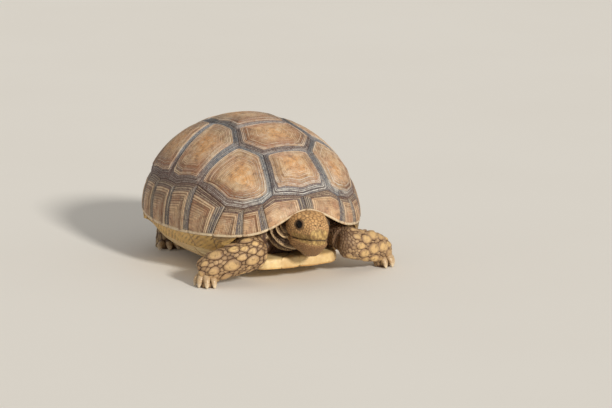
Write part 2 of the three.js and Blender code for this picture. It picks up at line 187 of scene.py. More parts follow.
def bridge_share(angle):
    degrees = np.degrees(np.abs(angle))
    front = smooth(degrees, BRIDGE_FRONT - BRIDGE_BLEND, BRIDGE_FRONT + BRIDGE_BLEND)
    rear = smooth(degrees, BRIDGE_REAR - BRIDGE_BLEND, BRIDGE_REAR + BRIDGE_BLEND)
    return front - rear


def underside_height(x, y):
    """Height of the underside where the bridge comes down from the rim."""
    angle = np.arctan2(x, -y)
    rim = rim_point(angle)
    inward = (np.hypot(rim[..., 0], rim[..., 1]) - np.hypot(x, y)) / SLOPE_WIDTH
    left = np.clip(1 - inward, 0, 1) ** SLOPE_POWER
    return BELLY_HEIGHT + (rim[..., 2] - BELLY_HEIGHT) * left * bridge_share(angle)


# Where the seams of the back plates meet on the unit disc, for one side.
seams = {
    "v1Front": (0, -0.8), "v1m1": (0.2, -0.726), "m1m2": (0.281, -0.751), "m2m3": (0.411, -0.725),
    "m3m4": (0.518, -0.638), "m4m5": (0.608, -0.36), "m5m6": (0.722, -0.13), "c2c3": (0.728, 0.007),
    "m6m7": (0.722, 0.165), "m7m8": (0.64, 0.395), "c3c4": (0.6, 0.455), "m8m9": (0.515, 0.575),
    "m9m10": (0.39, 0.68), "c4v5": (0.31, 0.715), "m10m11": (0.26, 0.74), "m11s": (0.135, 0.785),
    "v5Rear": (0, 0.8), "v1v2": (0.137, -0.443), "v2c1c2": (0.23, -0.316), "v2v3": (0.168, -0.163),
    "v3c2c3": (0.226, 0.05), "v3v4": (0.168, 0.205), "v4c3c4": (0.215, 0.34), "v4v5": (0.14, 0.475),
}
vertebrals = [
    ["v1Front", "v1m1", "v1v2"],
    ["v1v2", "v2c1c2", "v2v3"],
    ["v2v3", "v3c2c3", "v3v4"],
    ["v3v4", "v4c3c4", "v4v5"],
    ["v4v5", "c4v5", "m10m11", "m11s", "v5Rear"],
]
costals = [
    ["v1v2", "v1m1", "m1m2", "m2m3", "m3m4", "m4m5", "v2c1c2"],
    ["v2v3", "v2c1c2", "m4m5", "m5m6", "c2c3", "v3c2c3"],
    ["v3v4", "v3c2c3", "c2c3", "m6m7", "m7m8", "c3c4", "v4c3c4"],
    ["v4v5", "v4c3c4", "c3c4", "m8m9", "m9m10", "c4v5"],
]
COSTAL_GROWTH_CENTRES = [0.42, 0.45, 0.45, 0.45]
# The inner edge of each edge plate, and the angle where its hind seam meets the rim, in degrees.
marginals = [
    (["v1Front", "v1m1", "m1m2"], 18.2), (["m1m2", "m2m3"], 29.9), (["m2m3", "m3m4"], 45),
    (["m3m4", "m4m5"], 61.4), (["m4m5", "m5m6"], 80.2), (["m5m6", "c2c3", "m6m7"], 101.5),
    (["m6m7", "m7m8"], 121.2), (["m7m8", "c3c4", "m8m9"], 138), (["m8m9", "m9m10"], 151),
    (["m9m10", "c4v5", "m10m11"], 161.5), (["m10m11", "m11s"], 171),
]

# ---------------------------------------------------------------- finishes


def paint(red, green, blue):
    """A colour written as 0 to 255, as light."""
    return tuple(
        c / 12.92 if c <= 0.04045 else ((c + 0.055) / 1.055) ** 2.4
        for c in (red / 255, green / 255, blue / 255)
    ) + (1.0,)


class Finish:
    """A procedural material, built one node at a time."""

    def __init__(self, name, roughness):
        self.material = bpy.data.materials.new(name)
        self.material.use_nodes = True
        self.tree = self.material.node_tree
        self.shader = self.tree.nodes["Principled BSDF"]
        self.shader.inputs["Roughness"].default_value = roughness
        self.place = self.node("ShaderNodeTexCoord").outputs["Object"]

    def node(self, kind, **settings):
        made = self.tree.nodes.new(kind)
        for key, value in settings.items():
            setattr(made, key, value)
        return made

    def feed(self, socket, value):
        if isinstance(value, bpy.types.NodeSocket):
            self.tree.links.new(value, socket)
        else:
            socket.default_value = value

    def value(self, name):
        """A value that the piece's points carry."""
        return self.node("ShaderNodeAttribute", attribute_name=name).outputs["Fac"]

    def noise(self, scale, detail=4, roughness=0.6, place=None):
        made = self.node("ShaderNodeTexNoise")
        self.feed(made.inputs["Vector"], place or self.place)
        made.inputs["Scale"].default_value = scale
        made.inputs["Detail"].default_value = detail
        made.inputs["Roughness"].default_value = roughness
        return made.outputs["Fac"]

    def cells(self, scale):
        made = self.node("ShaderNodeTexVoronoi")
        self.feed(made.inputs["Vector"], self.place)
        made.inputs["Scale"].default_value = scale
        return made.outputs["Distance"]

    def stretched(self, x, y, z):
        made = self.node("ShaderNodeMapping")
        self.feed(made.inputs["Vector"], self.place)
        made.inputs["Scale"].default_value = (x, y, z)
        return made.outputs["Vector"]

    def arithmetic(self, kind, a, b):
        made = self.node("ShaderNodeMath", operation=kind)
        self.feed(made.inputs[0], a)
        self.feed(made.inputs[1], b)
        return made.outputs[0]

    def times(self, a, b):
        return self.arithmetic("MULTIPLY", a, b)

    def plus(self, a, b):
        return self.arithmetic("ADD", a, b)

    def minus(self, a, b):
        return self.arithmetic("SUBTRACT", a, b)

    def between(self, value, low, high, to_low=0.0, to_high=1.0):
        made = self.node("ShaderNodeMapRange", interpolation_type="SMOOTHSTEP")
        self.feed(made.inputs["Value"], value)
        for key, number in (("From Min", low), ("From Max", high), ("To Min", to_low), ("To Max", to_high)):
            made.inputs[key].default_value = number
        return made.outputs["Result"]

    def blend(self, share, a, b):
        made = self.node("ShaderNodeMix", data_type="RGBA")
        self.feed(made.inputs[0], share)
        self.feed(made.inputs[6], a)
        self.feed(made.inputs[7], b)
        return made.outputs[2]

    def colour(self, socket):
        self.feed(self.shader.inputs["Base Color"], socket)

    def rough(self, socket):
        self.feed(self.shader.inputs["Roughness"], socket)

    def relief(self, height, depth, strength):
        """Fine relief, with its depth in mm."""
        made = self.node("ShaderNodeBump")
        made.inputs["Strength"].default_value = strength
        made.inputs["Distance"].default_value = depth * MM
        self.feed(made.inputs["Height"], height)
        self.feed(self.shader.inputs["Normal"], made.outputs["Normal"])


GROWTH_LINE = 2.6  # between the growth lines under the edge plates, in mm


def shell_finish(name, middle, peach, amber, rust, umber, slate, plum, pale, worn, belly=None, grain=1.0):
    """Layered horn: a tan middle, darker newest growth along the seams, pale worn ring edges, and ring
    grooves darkened, partly as ring lines and partly as painted shade.
    """
    f = Finish(name, 0.5)
    fine = f.noise(1100, 4, 0.75)
    grit = f.noise(420, 4, 0.7)
    cloud = f.noise(75, 4, 0.6)
    broad = f.noise(32, 3, 0.5)
    colour = f.blend(f.between(cloud, 0.4, 0.62), middle, peach)
    heart = f.times(f.value("heart"), f.between(broad, 0.4, 0.6))
    colour = f.blend(f.times(heart, 0.7), colour, amber)
    colour = f.blend(f.times(f.between(grit, 0.46, 0.66), 0.34), colour, worn)
    flecks = f.noise(210, 5, 0.75)
    colour = f.blend(f.between(flecks, 0.5, 0.64, 0.0, 0.6 * grain), colour, umber)
    colour = f.blend(f.between(flecks, 0.5, 0.36, 0.0, 0.6 * grain), colour, worn)
    wash = f.times(f.times(f.value("rimward"), f.between(f.value("heart"), 0.6, 0.0)), 0.55)
    colour = f.blend(f.times(wash, f.between(f.noise(48, 4, 0.6), 0.35, 0.6)), colour, rust)
    russet = f.blend(f.between(cloud, 0.4, 0.62), umber, rust)
    colour = f.blend(f.times(f.value("stripe"), f.between(grit, 0.25, 0.55, 0.45, 1.0)), colour, russet)
    # The ring grooves darken: partly the rings' own lines, partly painted shade in the grooves.
    lines = f.times(f.value("groove"), f.between(f.noise(150, 3, 0.6), 0.2, 0.55, 0.4, 1.0))
    colour = f.blend(f.times(lines, 0.95), colour, umber)
    dark = f.blend(f.value("rimward"), slate, plum)
    dark = f.blend(f.between(f.noise(190, 4, 0.75), 0.44, 0.66, 0.0, 0.45), dark, umber)
    # In the newest growth too, the ring grooves are darkened, partly as ring lines and partly as painted
    # shade.
    dark = f.blend(f.times(f.value("groove"), 0.75), dark, paint(46, 38, 38))
    dark = f.blend(f.between(fine, 0.5, 0.72, 0.0, 0.42), dark, pale)
    share = f.plus(f.value("band"), f.times(f.minus(grit, 0.5), 0.7))
    share = f.times(f.between(share, 0.3, 0.7), f.between(f.value("band"), 0.04, 0.3))
    colour = f.blend(share, colour, dark)
    edge = f.times(f.value("pale"), f.between(f.noise(230, 4, 0.7), 0.3, 0.56))
    colour = f.blend(edge, colour, pale)
    if belly:
        cream, olive = belly
        across = f.node("ShaderNodeVectorMath", operation="DOT_PRODUCT")
        f.feed(across.inputs[0], f.place)
        across.inputs[1].default_value = (0, 0.45, 0.89)
        turns = f.times(across.outputs["Value"], 2 * math.pi / (GROWTH_LINE * MM))
        lines = f.arithmetic("SINE", f.plus(turns, f.times(f.noise(45, 4, 0.6), 11)), 0)
        streak = f.times(f.between(lines, -0.3, 1.0), f.between(f.noise(80, 4, 0.7), 0.4, 0.62, 0.06, 0.85))
        cream = f.blend(f.between(f.noise(60, 4, 0.65), 0.45, 0.65, 0.0, 0.55), cream, paint(184, 138, 80))
        colour = f.blend(f.value("under"), colour, f.blend(streak, cream, olive))
    # Dark seams between the plates, and a painted shadow in the first row under the rim's lip.
    colour = f.blend(f.times(f.value("seam"), 0.8), colour, paint(62, 50, 46))
    colour = f.blend(f.between(fine, 0.46, 0.72, 0.0, 0.3 * grain), colour, worn)
    colour = f.blend(f.between(f.noise(2600, 2, 0.6), 0.35, 0.7, 0.0, 0.3 * grain), colour, umber)
    f.colour(colour)
    f.rough(f.between(grit, 0.3, 0.7, 0.4, 0.64))
    f.relief(f.plus(fine, grit), 0.3 * grain, 0.8)
    return f.material


back_horn = shell_finish(
    "back_horn", paint(216, 180, 136), paint(204, 158, 118), paint(226, 158, 82), paint(160, 98, 54),
    paint(104, 68, 46), paint(92, 101, 113), paint(100, 69, 66), paint(232, 229, 218), paint(234, 214, 182),
)
edge_horn = shell_finish(
    "edge_horn", paint(214, 174, 130), paint(190, 142, 106), paint(206, 146, 86), paint(150, 96, 60),
    paint(100, 66, 46), paint(90, 90, 97), paint(104, 76, 72), paint(234, 214, 178), paint(226, 206, 174),
    (paint(232, 190, 108), paint(118, 80, 42)),
)
belly_horn = shell_finish(
    "belly_horn", paint(246, 218, 156), paint(238, 204, 140), paint(230, 188, 110), paint(190, 144, 84),
    paint(150, 104, 54),
    paint(206, 164, 104), paint(196, 154, 96), paint(252, 236, 196), paint(252, 236, 200), grain=0.35,
)

# ---------------------------------------------------------------- growth rings

RING_STEPS = [(0.0, 0.0), (0.25, 0.75), (0.62, 1.0), (0.88, 0.3)]  # a ring's profile: share along, height
BACK_RINGS, EDGE_RINGS, BELLY_RINGS = (17, 6), (11, 4), (8, 3)  # in the tan middle, and in the newest growth
HEART = 0.16  # the hatchling's own plate in the middle
NEW_GROWTH = 0.7  # where the newest growth starts, on the scale from 0 in the middle to 1 in the seam


def growth_rows(rng, old, new):
    """Rows from the growth centre to the seam: place, ridge height, groove (darkened partly as a ring line,
    partly as painted shade), wear of the crest, and stripe.
    """
    starts = list(np.linspace(HEART, NEW_GROWTH, old + 1)[:-1])
    starts += list(np.linspace(NEW_GROWTH, 1, new + 1))
    jitter = rng.uniform(-0.3, 0.3, len(starts)) * np.gradient(starts)
    jitter[[0, old, -1]] = 0
    starts = np.array(starts) + jitter
    tones = np.convolve(rng.uniform(-1, 1, old + new + 2), (0.6, 1, 0.6), "valid")
    rows = [(0.03, 0, 0, 0, 0), (HEART * 0.45, 0, 0, 0, 0), (HEART * 0.8, 0, 0, 0, 0)]
    for k in range(old + new):
        fresh = k >= old
        height = rng.uniform(0.5, 1.35) * (0.46 if fresh else mix(0.12, 0.46, k / old))
        worn = rng.uniform(0.6, 1) if rng.random() < (0.6 if fresh else 0.4) else rng.uniform(0, 0.25)
        late = float(smooth(k / old, 0.5, 0.7))
        stripe = mix(float(smooth(tones[k], -0.15, 0.75)), rng.uniform(0.75, 1) * (k % 3 > 0), late)
        worn = max(worn, 0.9 * late * (k % 3 == 0))
        if k == old - 1:
            worn, height, stripe = 1.4, 0.55, 0.0
        for share, level in RING_STEPS:
            place = mix(starts[k], starts[k + 1], share)
            crest = 1 if share == 0.62 else 0.35 if share == 0.25 else 0
            rows.append((place, level * height, (1 - level) ** 1.5, worn * crest, stripe))
    rows += [(0.992, 0, 0, 0, 0), (1.0, 0, 0, 0, 0)]
    return np.array(rows)


def spread(place, band):
    """The real share of the way to the seam, when the newest growth is this share wide."""
    inner = place / NEW_GROWTH * (1 - band)
    outer = 1 - band + (place - NEW_GROWTH) / (1 - NEW_GROWTH) * band
    return np.where(place < NEW_GROWTH, inner, outer)


def plate_outline(corners, widths, spacing):
    """Points along the seams of a plate, with the width of the newest growth beside each."""
    points, bands = [], []
    count = len(corners)
    for i, (a, b) in enumerate(zip(corners, corners[1:] + corners[:1])):
        ends = chart(np.array([a[0], b[0]]), np.array([a[1], b[1]]))
        steps = max(3, int(np.linalg.norm(ends[1] - ends[0]) / spacing))
        before = (widths[i - 1] + widths[i]) / 2
        after = (widths[i] + widths[(i + 1) % count]) / 2
        for k in range(steps):
            t = k / steps
            points.append((mix(a[0], b[0], t), mix(a[1], b[1], t)))
            near = mix(before, widths[i], smooth(t, 0, 0.3))
            bands.append(mix(near, after, smooth(t, 0.7, 1)))
    return np.array(points), np.array(bands)


def softened(values, passes):
    for _ in range(passes):
        values = (np.roll(values, 1, 0) + 2 * values + np.roll(values, -1, 0)) / 4
    return values


# How a back plate swells from its middle, at 0, and sinks to its seam, at 1, in mm.
RELIEF_PLACES, RELIEF_HEIGHTS = [0, 0.3, 0.72, 0.93, 0.985, 1.0], [1.3, 1.25, 0.85, 0.15, -0.35, -1.0]
TERRACE = 0.35  # the step down to the newest growth, in mm
STEP_FROM, STEP_TO = NEW_GROWTH - 0.004, NEW_GROWTH + 0.02  # where that step lies
BAND_TO = NEW_GROWTH + 0.014  # where the newest growth has its full colour
PLATE_SPACING, PLATE_THICKNESS = 1.25, 6.0  # PLATE_SPACING lies between points along a seam


def plate_piece(name, corners, widths, centre, rng, rimward, frost):
    """A horn plate over its seams' outline, with growth rings round its centre."""
    outline, width = plate_outline(corners, widths, PLATE_SPACING)
    rows = growth_rows(rng, *BACK_RINGS)
    offset = outline - centre
    rounder, eased = softened(offset, 40), softened(offset, 5)
    count = len(outline)
    waves = np.arange(count) / count * 2 * np.pi
    rim = lifted(*outline.T, np.zeros(count))
    spoke = rim - lifted(centre[:1], centre[1:], np.zeros(1))
    run = unit(np.roll(rim, -1, 0) - rim)
    clear = np.linalg.norm(spoke - (spoke * run).sum(1)[:, None] * run, axis=1)
    band = softened(np.clip(width / np.maximum(clear, 1), 0.06, 0.42), 4)
    out, chill = rimward(outline), frost(outline)
    rings, values = [], {key: [] for key in ("heart", "groove", "rimward", "band", "pale", "seam", "stripe")}
    for place, ridge, groove, worn, stripe in rows:
        share = spread(place, band)
        shape = mix(mix(rounder, eased, smooth(place, 0.1, 0.5)), offset, smooth(place, 0.8, 1))
        drift = 1 + 0.012 * np.sin(3 * waves + 40 * place) * (1 - place) ** 2
        at = centre + shape * (share * drift)[:, None]
        at = np.stack(wander(at[:, 0], at[:, 1]), -1)
        height = np.interp(share, RELIEF_PLACES, RELIEF_HEIGHTS) + ridge * smooth(1 - share, 0, 0.04)
        height = height - TERRACE * smooth(place, STEP_FROM, STEP_TO) * smooth(1 - share, 0, 0.1)
        rings.append(lifted(at[:, 0], at[:, 1], height))
        patch = 0.5 + 0.5 * np.sin(2 * waves + rng.uniform(0, 6.3)) * np.sin(5 * waves + rng.uniform(0, 6.3))
        outer = smooth(place, 0.3, 0.66)
        values["heart"].append(np.full(count, float(smooth(1 - place, 0.45, 0.8))))
        values["groove"].append(groove * mix(0.5, 1.0, smooth(place, 0.2, 0.6)) * mix(0.8, 1, out))
        values["stripe"].append(stripe * outer * mix(0.35, 1.5, out) * mix(0.6, 1, patch))
        values["rimward"].append(out)
        values["band"].append(np.full(count, float(smooth(place, STEP_FROM, BAND_TO))))
        worn = worn * mix(0.3, 1, patch) * mix(0.3, 1, outer) * mix(0.55, 2.0, chill)
        values["pale"].append(np.minimum(1, worn))
        values["seam"].append(np.full(count, float(place > 0.995)))
    for share in (0.985, 0.5):
        rings.append(lifted(*wander(*(centre + offset * share).T), np.full(count, -PLATE_THICKNESS)))
        for key in values:
            values[key].append(np.full(count, 1.0 if key == "seam" else 0.0))
    points, faces = closed_tube(np.array(rings))
    piece = mesh_piece(name, points, faces, back_horn, with_caps(values))
    return piece


def facing_widths(corners, centre, front, rear, spine, rim):
    """How wide the newest growth is beside each seam, from the way that the seam faces."""
    widths = []
    side = np.sign(centre[0])
    for a, b in zip(corners, corners[1:] + corners[:1]):
        across = np.array([b[1] - a[1], a[0] - b[0]])
        middle = np.array([(a[0] + b[0]) / 2 - centre[0], (a[1] + b[1]) / 2 - centre[1]])
        across = unit(across * np.sign(across @ middle))
        sideways = rim if across[0] * side > 0 or side == 0 else spine
        along = front if across[1] < 0 else rear
        widths.append(sideways * across[0] ** 2 + along * across[1] ** 2)
    return widths


def shell_plates():
    rng = np.random.default_rng(11)
    made = []
    for i, names in enumerate(vertebrals):
        half = [seams[n] for n in names]
        corners = half + [(-x, y) for x, y in reversed(half) if x > 0]
        centre = np.array([0, np.mean([y for _, y in corners]) + (0.03 if i else 0.08)])
        widths = facing_widths(corners, centre, front=9 if i == 0 else 4.5, rear=2.5, spine=4.2, rim=4.2)

        def rimward(outline):
            return smooth(-outline[:, 1], -0.1, 0.2) * (0.3 if i == 0 else 0.8)

        def frost(outline):
            return smooth(-outline[:, 1], 0.6, 0.72) if i == 0 else 0.15 * np.ones(len(outline))

        piece = plate_piece(f"vertebral_plate_{i + 1}", corners, widths, centre, rng, rimward, frost)
        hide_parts(f"vertebral_{i + 1}")
        made.append(piece)
    for word, side in (("left", 1), ("right", -1)):
        for i, names in enumerate(costals):
            corners = [(side * seams[n][0], seams[n][1]) for n in names]
            xs = np.abs([x for x, _ in corners])
            centre = np.array([side * mix(xs.min(), xs.max(), COSTAL_GROWTH_CENTRES[i]),
                               np.mean([y for _, y in corners])])
            widths = facing_widths(corners, centre, front=6 if i == 0 else 4.4, rear=3.8, spine=3.8, rim=7.5)

            def rimward(outline):
                near_rim = smooth(np.hypot(outline[:, 0] * 1.1, outline[:, 1]), 0.56, 0.72)
                return near_rim * smooth(np.abs(outline[:, 0]), 0.26, 0.42)

            def frost(outline):
                corner = np.hypot(np.abs(outline[:, 0]) - 0.26, outline[:, 1] + 0.75)
                return (1.0 if i == 0 else 0.3) * bump(corner, 0.26)

            piece = plate_piece(f"costal_plate_{word}_{i + 1}", corners, widths, centre, rng, rimward, frost)
            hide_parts(f"costal_{word}_{i + 1}")
            made.append(piece)
    return made


# ---------------------------------------------------------------- edge plates

EDGE_TOP_BAND, EDGE_FRONT_BAND = 0.2, 6.2  # a share of the plate's height, and mm
# The underside from the lip inwards: mm in from the rim, mm below it, and share of the way to its inner edge.
UNDERSIDE = [(0, 0.9, 0), (0.25, 1.7, 0), (0.6, 2.1, 0), (0.9, 2.1, 0.04)]
UNDERSIDE += [(0.9, 2.1, share) for share in (0.1, 0.2, 0.32, 0.45, 0.6, 0.8, 1.0)]
# How an edge plate swells between its inner edge, at 0, and the rim, at 1, in mm.
EDGE_PLACES, EDGE_HEIGHTS = [0, 0.02, 0.1, 0.55, 0.93, 1], [-1.0, -0.45, 0.0, 0.7, 0.35, 0.0]
EDGE_THICKNESS = 6.0  # at the inner edge
SEAM_GROOVE, SEAM_NICK = 0.8, 0.5  # how deep the seams are on the face of the edge, and on the rim
MEAN_RADIUS = 95  # of the rim, about
FRONT_RINGS = 0.4  # how strong the rings are on the worn pair in front


def edge_columns(rows, width, doubled):
    """Places along an edge plate, from 0 in front to 1 behind, with the growth ring that each lies on."""
    band = np.clip(EDGE_FRONT_BAND / width, 0.08, 0.4)
    from_corner = spread(rows[:, 0], band)
    clear = from_corner > 1.4 / width
    near = np.array([0, 0.4, 0.9]) / width
    from_corner = np.concatenate([near, from_corner[clear]])
    ring = np.concatenate([[0, 0, 0], np.nonzero(clear)[0]]).astype(int)
    if doubled:
        places = np.concatenate([-from_corner[::-1], from_corner[1:]]) / 2 + 0.5
        return places, np.concatenate([ring[::-1], ring[1:]])
    return 1 - from_corner[::-1], ring[::-1]


def edge_piece(name, inner, start, end, side, rng, ringed=1.0):
    """An edge plate, ringed along its seam side and its front side, round a corner at its rear on the rim."""
    inner = np.array(inner, float)
    lengths = np.linalg.norm(np.diff(inner, axis=0), axis=1)
    along_seam = np.concatenate([[0], np.cumsum(lengths)]) / lengths.sum()
    rows = growth_rows(rng, *EDGE_RINGS)
    doubled, flip = side == 0, -1 if side == -1 else 1
    middle_radius = float(oval_radius(np.radians((start + end) / 2)))
    width = np.radians(end - start) * middle_radius / (2 if doubled else 1)
    places, column_rows = edge_columns(rows, width, doubled)
    outs = np.append(1 - spread(rows[:, 0], EDGE_TOP_BAND)[::-1][:-1], [0.972, 0.986, 0.995, 1.0])
    out_rows = np.append(np.arange(len(rows))[::-1][:-1], [0, 0, 0, 0])
    columns = len(places)
    seam_x, seam_y = (np.interp(places, along_seam, inner[:, k]) for k in (0, 1))
    angle = np.radians(mix(start, end, places))
    seam_angle = np.arctan2(seam_x, -seam_y)
    seam_angle = np.where(seam_angle < -0.3, seam_angle + 2 * np.pi, seam_angle)
    seam_rho = np.hypot(seam_x, seam_y)
    beside = np.minimum(places, 1 - places) * width * (2 if doubled else 1)
    dip = SEAM_GROOVE * bump(beside, 0.75)
    nick = SEAM_NICK * bump(beside, 1.6)
    loops = []
    values = {key: [] for key in ("heart", "groove", "rimward", "band", "pale", "seam", "stripe", "under")}

    def colour(**named):
        for key in values:
            values[key].append(np.broadcast_to(np.asarray(named.get(key, 0.0), float), columns))

    for out, out_row in zip(outs, out_rows):
        row = np.maximum(column_rows, out_row)
        place, ridge, groove, worn, stripe = rows[row].T
        plain = mix(ringed, 1, smooth(place, NEW_GROWTH - 0.1, NEW_GROWTH))
        ridge, groove, worn, stripe = ridge * plain, groove * plain, worn * plain, stripe * plain
        turned_to, rho = mix(seam_angle, angle, out), mix(seam_rho, 1, out)
        x, y = wander(flip * rho * np.sin(turned_to), -rho * np.cos(turned_to))
        height = np.interp(out, EDGE_PLACES, EDGE_HEIGHTS)
        fade = smooth(out, 0, 0.03) * smooth(1 - out, 0, 0.03)
        height = height + (ridge - dip) * fade - TERRACE * smooth(place, STEP_FROM, STEP_TO) * fade
        loop = lifted(x, y, height)
        loop[:, :2] *= 1 - (nick * smooth(out, 0.85, 1) / MEAN_RADIUS)[:, None]
        loops.append(loop)
        top_side = out_row >= column_rows
        colour(
            heart=smooth(1 - place, 0.6, 0.95) * 0.6,
            groove=groove * mix(0.5, 1, smooth(place, 0.15, 0.6)),
            rimward=np.where(top_side, smooth(1 - out, 0.5, 0.8), 0.1),
            stripe=stripe * smooth(place, 0.25, 0.6),
            band=smooth(place, STEP_FROM, BAND_TO) * smooth(1 - out, 0.0, 0.03),
            pale=np.maximum(worn * 0.55 * smooth(place, 0.2, 0.6), float(smooth(out, 0.98, 0.995)) * 0.9),
            seam=np.maximum(float(out < 0.004), 0.95 * bump(beside, 0.4)),
        )
    rim = rim_point(angle)
    rim_radius = np.hypot(rim[:, 0], rim[:, 1]) - nick
    bridge = bridge_share(np.where(angle > np.pi, 2 * np.pi - angle, angle))
    for inward, drop, share in UNDERSIDE:
        radius = rim_radius + 0.25 - dip * 0.4 - inward - LIP_WIDTH * share
        x, y = radius * np.sin(angle), -radius * np.cos(angle)
        height = rim[:, 2] - drop
        if share:
            open_height = rim[:, 2] - LIP_THICKNESS + LIP_RISE * share
            height = mix(open_height, np.minimum(underside_height(x, y), rim[:, 2] - drop), bridge)
        loops.append(np.stack([flip * x, y, height + dip * 0.4], -1))
        on_lip = drop < LIP_THICKNESS
        colour(
            groove=0.0 if on_lip else 0.5 + 0.5 * np.sin(share * 26 + places * 17),
            under=0.0 if on_lip else 1.0,
            pale=0.9 * on_lip,
            # The first row under the lip takes the seams' dark colour: a painted shadow under the lip.
            seam=np.maximum(bump(beside, 0.5) * 0.8, 0.9 * (share == 0 and not on_lip)),
        )
    seam_line = flip * seam_rho * np.sin(seam_angle), -seam_rho * np.cos(seam_angle)
    loops.append(lifted(*wander(*seam_line), np.full(columns, -EDGE_THICKNESS)))
    colour(seam=1.0)
    grid = np.stack(loops, 1)
    count = grid.shape[1]
    faces = tube_faces(columns, count)
    faces += [tuple(range(count)), tuple((columns - 1) * count + np.arange(count)[::-1])]
    points = grid.reshape(-1, 3)
    attributes = {key: np.stack(v, 1).ravel() for key, v in values.items()}
    piece = mesh_piece(name, points, outward(points, faces), edge_horn, attributes)
    return piece


def edge_plates():
    rng = np.random.default_rng(23)
    made = []
    for word, side in (("left", 1), ("right", -1)):
        start = 0.0
        for i, (names, end) in enumerate(marginals):
            piece = edge_piece(f"edge_plate_{word}_{i + 1}", [seams[n] for n in names], start, end, side, rng,
                               FRONT_RINGS if i == 0 else 1.0)
            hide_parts(f"marginal_{word}_{i + 1}")
            made.append(piece)
            start = end
    last = marginals[-1][1]
    corner, rear = seams["m11s"], seams["v5Rear"]
    piece = edge_piece("rear_plate", [corner, rear, (-corner[0], corner[1])], last, 360 - last, 0, rng)
    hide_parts("supracaudal")
    made.append(piece)
    return made


# ---------------------------------------------------------------- the underside

# The outline of each plate of the underside on one side, in mm from the shell's middle. A lone number is an
# angle from the nose in degrees, where the plate meets the inner edge of the edge plates.
plastron = {
    "gular": [(0, -95), (7, -97.5), (18, -96.5), (0, -78)],
    "humeral": [(0, -78), (18, -96.5), (32, -94), (39, -88), (43, -76), (48, -62), (0, -50)],
    "pectoral": [(0, -50), (48, -62), 43, 50, 57, 65, (46, -34), (0, -40)],
    "abdominal": [(0, -40), (46, -34), 65, 76, 87, 98, 109, 120, (42, 34), (0, 22)],
    "femoral": [(0, 22), (42, 34), (38, 50), (30, 61), (24, 67), (0, 60)],
    "anal": [(0, 60), (24, 67), (21, 82), (13, 88), (0, 78)],
}
BELLY_SPACING, BELLY_EDGE = 1.8, 2.2  # between points of the outline, and the radius of the rounded edge
BELLY_BAND, MIDLINE_BAND = 4.0, 1.5  # the newest growth's width along the outer seams and the midline
PLASTRON_THICKNESS = {"gular": 9.5, "humeral": 9, "pectoral": 6, "abdominal": 6, "femoral": 6, "anal": 5.5}


def belly_piece(name, outline, thickness, side, rng):
    """A plate of the underside: rings of growth below, a rounded edge, and a plain inner face."""
    corners = []
    for p in outline:
        if isinstance(p, tuple):
            corners.append(p)
        else:
            angle = np.radians(float(p))
            rim = rim_point(np.array(angle))
            radius = math.hypot(rim[0], rim[1]) - LIP_WIDTH - GAP
            corners.append((radius * math.sin(angle), -radius * math.cos(angle)))
    points, bands = [], []
    for a, b in zip(corners, corners[1:] + corners[:1]):
        steps = max(2, int(math.dist(a, b) / BELLY_SPACING))
        free = max(abs(a[0]), abs(b[0])) > 0.1
        for k in range(steps):
            points.append((mix(a[0], b[0], k / steps), mix(a[1], b[1], k / steps)))
            bands.append(BELLY_BAND if free else MIDLINE_BAND)
    points = np.array(points)
    centre = points.mean(0)
    offset = points - centre
    reach = np.linalg.norm(offset, axis=1)
    band = np.clip(softened(np.array(bands), 6) / reach, 0.05, 0.4)
    rows = growth_rows(rng, *BELLY_RINGS)
    count = len(points)
    rounder = softened(offset, 30)
    loops = []
    values = {key: [] for key in ("heart", "groove", "rimward", "band", "pale", "seam", "stripe")}

    def loop(place, share, height, groove=0.0, worn=0.0, dark=0.0):
        shape = mix(rounder, offset, smooth(place, 0.2, 0.85))
        at = centre + shape * np.asarray(share).reshape(-1, 1)
        x = np.maximum(at[:, 0], 0.06)
        loops.append(np.stack([side * x, at[:, 1], underside_height(x, at[:, 1]) + height], -1))
        for key, number in (("heart", 0.3 * (1 - place)), ("groove", groove), ("rimward", 1.0),
                            ("band", dark), ("pale", worn), ("seam", 0), ("stripe", 0)):
            values[key].append(np.full(count, float(number)))

    for place, ridge, groove, worn, _ in rows[:-2]:
        share = spread(place, band) * 0.985
        loop(place, share, 0.25 - 0.35 * ridge, groove * 0.8, worn * 0.6,
             dark=0.3 * float(smooth(place, NEW_GROWTH, NEW_GROWTH + 0.1)))
    edge = BELLY_EDGE / reach
    for turn in (0.3, 0.6, 0.85, 1.0):
        bend = turn * math.pi / 2
        loop(1, 0.998 - edge * (1 - math.sin(bend)), 0.3 + 1.6 * (1 - math.cos(bend)))
    loop(1, np.full(count, 0.998), thickness * 0.5)
    loop(1, np.full(count, 0.998), thickness - 1.6)
    loop(1, 0.998 - edge * 0.35, thickness - 0.5)
    loop(1, 0.998 - edge, np.full(count, thickness))
    loop(1, np.full(count, 0.6), np.full(count, thickness))
    points, faces = closed_tube(np.array(loops))
    return mesh_piece(name, points, faces, belly_horn, with_caps(values))


def belly_plates():
    rng = np.random.default_rng(37)
    made = []
    for word, side in (("left", 1), ("right", -1)):
        for key, outline in plastron.items():
            piece = belly_piece(f"{key}_plate_{word}", outline, PLASTRON_THICKNESS[key], side, rng)
            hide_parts(f"{key}_{word}")
            made.append(piece)
    return made


# ---------------------------------------------------------------- flesh

HEAD_SLOPE, HEAD_TILT, NAPE, TILTED_BY = 0.065, 0.1, -102, -118
HEAD_SQUARENESS, NECK_SQUARENESS = 2.35, 2.2
EYE = np.array([10.5, -121.8, 53.4])
EYE_RADIUS = 4.7
